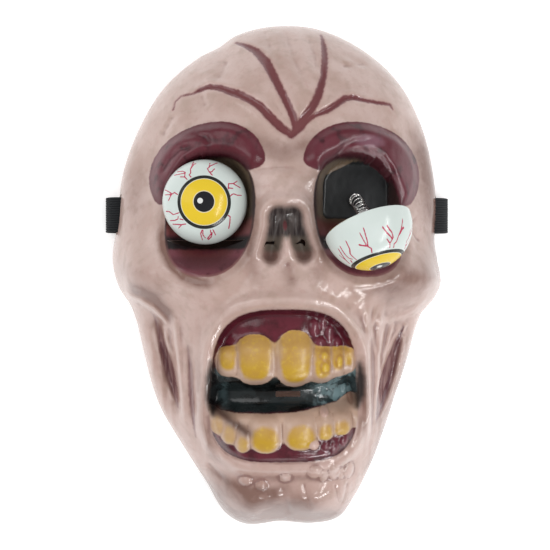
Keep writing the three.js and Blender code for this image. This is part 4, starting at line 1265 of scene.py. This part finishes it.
class GeometryTree(NodeMaker):
    """A Geometry Nodes group with named inputs, put on an object of edges as a modifier."""

    def __init__(self, name, kinds):
        super().__init__(bpy.data.node_groups.new(name, "GeometryNodeTree"))
        add_socket = self.tree.interface.new_socket
        for way in ("INPUT", "OUTPUT"):
            add_socket(name="Geometry", in_out=way, socket_type="NodeSocketGeometry")
        self.named = {}
        for label, kind in kinds.items():
            self.named[label] = add_socket(name=label, in_out="INPUT", socket_type="NodeSocket" + kind)
        self.entry = self.node("NodeGroupInput")
        self.line = self.result("GeometryNodeMeshToCurve", {"Mesh": self.entry.outputs["Geometry"]})

    def inputs(self):
        return [Number(self, self.entry.outputs[label]) for label in self.named]

    def vector(self, x, y, z):
        return self.result("ShaderNodeCombineXYZ", {0: x, 1: y, 2: z})

    def vector_maths(self, operation, inputs):
        return self.result("ShaderNodeVectorMath", inputs, operation=operation)

    def finish_wires(self, paths, radius, material):
        """Round wires along the paths, made real, with their material."""
        section = self.result("GeometryNodeCurvePrimitiveCircle", {
            "Resolution": WIRE_SIDES, "Radius": radius})
        wires = self.result("GeometryNodeCurveToMesh", {
            "Curve": paths, "Profile Curve": section, "Fill Caps": True})
        smooth = self.result("GeometryNodeSetShadeSmooth", {"Geometry": wires})
        real = self.result("GeometryNodeRealizeInstances", {"Geometry": smooth})
        dressed = self.result("GeometryNodeSetMaterial", {"Geometry": real, "Material": material})
        self.node("NodeGroupOutput", {0: dressed})

    def put_on(self, target, values):
        modifier = target.modifiers.new(self.tree.name, "NODES")
        modifier.node_group = self.tree
        for label, value in values.items():
            modifier[self.named[label].identifier] = value


def coil_tree():
    """Winds a round wire about the line of edges that the object holds."""
    tree = GeometryTree("wound_coil", {
        "Turns": "Float", "Coil Radius": "Float", "Wire Radius": "Float", "Steps": "Int",
        "Material": "Material"})
    turns, radius, wire_radius, steps, material = tree.inputs()
    straight = tree.result("GeometryNodeCurvePrimitiveLine")
    fine = tree.result("GeometryNodeResampleCurve", {"Curve": straight, "Count": steps})
    along = tree.number("GeometryNodeInputIndex") / (steps - 1.0)
    sample = tree.node("GeometryNodeSampleCurve", {"Curves": tree.line, "Factor": along}, mode="FACTOR")
    tangent, normal = sample.outputs["Tangent"], sample.outputs["Normal"]
    other = tree.vector_maths("CROSS_PRODUCT", {0: tangent, 1: normal})
    angle = along * turns * (2 * math.pi)
    place = sample.outputs["Position"]
    for way, operation in ((normal, "COSINE"), (other, "SINE")):
        shift = tree.vector_maths("SCALE", {0: way, "Scale": tree.maths(operation, angle) * radius})
        place = tree.vector_maths("ADD", {0: place, 1: shift})
    helix = tree.result("GeometryNodeSetPosition", {"Geometry": fine, "Position": place})
    tree.finish_wires(helix, wire_radius, material)
    return tree


def steel_finish():
    finish = Finish("spring_wire")
    streak = finish.noise(0.8, 3, stretch=(1, 1, 4))
    body = finish.blend(streak, (238, 238, 236), (196, 196, 196))
    return finish.surface(streak, 0.02, Base_Color=body, Roughness=streak * 0.15 + 0.2, Metallic=1.0)


def bezier(start, start_handle, end_handle, end, count):
    t = np.linspace(0, 1, count)[:, None]
    return (
        (1 - t) ** 3 * start + 3 * (1 - t) ** 2 * t * start_handle
        + 3 * (1 - t) * t**2 * end_handle + t**3 * end
    )


def add_spring(name, line, pitch, replaced):
    turns = np.linalg.norm(np.diff(line, axis=0), axis=1).sum() / pitch
    spring = new_object(name + "_line", line, [], [(i, i + 1) for i in range(len(line) - 1)])
    coils.put_on(spring, {
        "Turns": turns, "Coil Radius": SPRING_RADIUS * MM, "Wire Radius": WIRE_RADIUS * MM,
        "Steps": int(turns * STEPS_IN_A_TURN), "Material": spring_wire,
    })
    spring = plain_mesh(spring, name)
    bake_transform(spring)
    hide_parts(replaced)


coils = coil_tree()
spring_wire = steel_finish()
seat_height = SOCKET_FLOOR + FIT_GAP + WIRE_RADIUS
left_seat, right_seat = (
    np.array([FACE_AXIS + side * SPRING_SEAT[0], SPRING_SEAT[1], seat_height]) for side in SIDES)
grip = EYE_RADIUS - EYE_WALL - FIT_GAP - WIRE_RADIUS
left_pole = np.array(LEFT_EYE) + (0, 0, grip)
left_line = bezier(left_seat, left_seat + (0, 0, 16), left_pole - (0, 0, 14), left_pole, 40)
add_spring("left_spring", left_line, LEFT_PITCH, "left_eye_spring")

gaze, right_centre = np.array(RIGHT_GAZE), np.array(RIGHT_EYE)
rise = bezier(right_seat, right_seat + (0, 0, 4), ELBOW - (1.8, -5, 3.5), ELBOW, 24)
bend = bezier(ELBOW, ELBOW + (1.4, -4, 7), right_centre - 8 * gaze, right_centre, 40)[1:]
straight_part = right_centre + np.linspace(0, grip, 16)[1:, None] * gaze
right_line = np.concatenate([rise, bend, straight_part])
add_spring("right_spring", right_line, RIGHT_PITCH, "right_eye_spring")

# The strap is one flat black elastic, woven with cords along its length. Each end goes round the
# rim and in through a slot, and is sewn back on itself; the slack lies folded under the mask.
STRAP_THICKNESS = 1.2
CORDS = 15
CORD_OVERLAP = 1.05
CORD_STEP = 0.9
RIM_AT_STRAP = 84


def strap_lines():
    """The strap's runs seen from the chin, as points (across, up from the floor)."""
    floor = STRAP_THICKNESS / 2
    loops, ends = [], {}
    for side in SIDES:
        wall = wall_across(side, SLOT_UP)
        angle = math.atan2(STRAP_UP, side * RIM_AT_STRAP)
        rim = float(rim_reach(np.array(angle))) * abs(math.cos(angle))
        loop = [
            (rim - 9, floor), (rim, floor), (rim + 4.2, 1.6), (rim + 5.4, 5), (rim + 4.8, 9.4),
            (rim + 2.2, 12.8), (wall, SLOT_UP), (wall - 4.4, 13.2), (wall - 6.4, 10), (rim - 9.6, 3),
        ]
        loops.append([(side * x, z) for x, z in loop])
        ends[side] = side * (rim - 7)
    layer = STRAP_THICKNESS + 0.6
    fold_right, fold_left = 34, -22
    run = [
        (ends[-1], floor), (fold_right, floor), (fold_right + 1.2, floor + layer / 2),
        (fold_right, floor + layer), (fold_left, floor + layer), (fold_left - 1.2, floor + 1.5 * layer),
        (fold_left, floor + 2 * layer), (48, floor + 2 * layer), (62, floor), (ends[1], floor),
    ]
    return loops, run


def webbing_tree():
    """Lays cords side by side along the lines that the object holds."""
    tree = GeometryTree("ribbed_webbing", {
        "Width": "Float", "Cords": "Int", "Thickness": "Float", "Material": "Material"})
    width, cords, thickness, material = tree.inputs()
    curved = tree.result("GeometryNodeCurveSplineType", {"Curve": tree.line}, spline_type="CATMULL_ROM")
    fine = tree.result("GeometryNodeResampleCurve", {
        "Curve": curved, "Length": CORD_STEP * MM}, mode="LENGTH")
    spacing = width / cords
    rows = tree.result("GeometryNodeMeshLine", {
        "Count": cords, "Start Location": tree.vector(0.0, (spacing - width) * 0.5, 0.0),
        "Offset": tree.vector(0.0, spacing, 0.0)})
    spread = tree.result("GeometryNodeInstanceOnPoints", {"Points": rows, "Instance": fine})
    laid = tree.result("GeometryNodeRealizeInstances", {"Geometry": spread})
    tree.finish_wires(laid, thickness * 0.5, material)
    return tree


def elastic_finish():
    finish = Finish("black_elastic")
    weave = finish.noise(0.5, 2, stretch=(2.4, 1, 2.4))
    body = finish.blend(weave, (20, 22, 25), (38, 40, 44))
    return finish.surface(weave, 0.15, Base_Color=body, Roughness=weave * 0.2 + 0.75)


loops, run = strap_lines()
strap_points, strap_edges = [], []
for points, closed in ((loops[0], True), (loops[1], True), (run, False)):
    first_index = len(strap_points)
    strap_points += [(x, STRAP_UP, z) for x, z in points]
    strap_edges += [(i, i + 1) for i in range(first_index, len(strap_points) - 1)]
    if closed:
        strap_edges.append((len(strap_points) - 1, first_index))
strap = new_object("strap_line", strap_points, [], strap_edges)
webbing_tree().put_on(strap, {
    "Width": STRAP_WIDTH * MM, "Cords": CORDS, "Thickness": STRAP_THICKNESS * CORD_OVERLAP * MM,
    "Material": elastic_finish(),
})
strap = plain_mesh(strap, "strap_webbing")
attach(strap, "mask")
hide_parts("elastic_strap")

# A lit white table under soft studio light, with two strip lamps, beside the right cheek and
# beyond the chin, that draw bright streaks along the folds, as in the photograph. The table
# doesn't glow under the mask and is dark under the eyes, so that the sight slits look black.
TABLE_HALF, TABLE_DROP = 3000, 0.3
# Two ovals on the table, each as its middle up the face, half width and half height
UNDER_THE_MASK = (0, 66, 112)
UNDER_THE_EYES = (34, 66, 50)
table_corners = [(x, y, -TABLE_DROP) for x, y in box_outline(0, 0, TABLE_HALF, TABLE_HALF)]
floor = new_object("table_top", table_corners, [(0, 1, 2, 3)])
table_finish = Finish("white_table")
across, up, _ = table_finish.place_mm()
clear_of_mask, clear_of_eyes = (
    table_finish.step(((across / half_width) ** 2 + ((up - middle) / half_height) ** 2) ** 0.5, 0.85, 1)
    for middle, half_width, half_height in (UNDER_THE_MASK, UNDER_THE_EYES))
glow = table_finish.blend(clear_of_mask, (0, 0, 0), (255, 255, 255))
# Painted shadow: the table is dark in the oval under the eyes
table_with_painted_shadow = table_finish.blend(clear_of_eyes, (70, 66, 66), (246, 246, 246))
floor.data.materials.append(table_finish.surface(
    table_finish.noise(30, 2), 0.02, Base_Color=table_with_painted_shadow, Roughness=0.6,
    Emission_Color=glow, Emission_Strength=0.45))


def add_softbox(name, place, width, height, power, lights_up=True, mirrored=True):
    """A rectangular lamp that faces the middle, for soft light, for highlights, or for both."""
    data = bpy.data.lights.new(name, "AREA")
    data.shape = "RECTANGLE"
    data.size, data.size_y, data.energy = width, height, power
    light = bpy.data.objects.new(name, data)
    light.location = place
    light.visible_diffuse, light.visible_glossy = lights_up, mirrored
    light.rotation_euler = (-Vector(place)).to_track_quat("-Z", "Y").to_euler()
    bpy.context.scene.collection.objects.link(light)


add_softbox("right_softbox", (0.55, -0.35, 1), 0.7, 0.9, 6, mirrored=False)
add_softbox("left_softbox", (-0.8, 0.3, 0.8), 0.7, 0.9, 4)
add_softbox("right_strip", (0.5, -0.12, 0.62), 0.8, 0.05, 4.5, lights_up=False)
add_softbox("chin_strip", (0.5, -0.74, 0.34), 0.5, 0.06, 4, lights_up=False)
world = bpy.data.worlds.new("studio")
world.use_nodes = True
background = world.node_tree.nodes["Background"]
background.inputs["Color"].default_value = (1, 1, 1, 1)
background.inputs["Strength"].default_value = 0.44
bpy.context.scene.world = world
bpy.context.scene.view_settings.view_transform = "Standard"
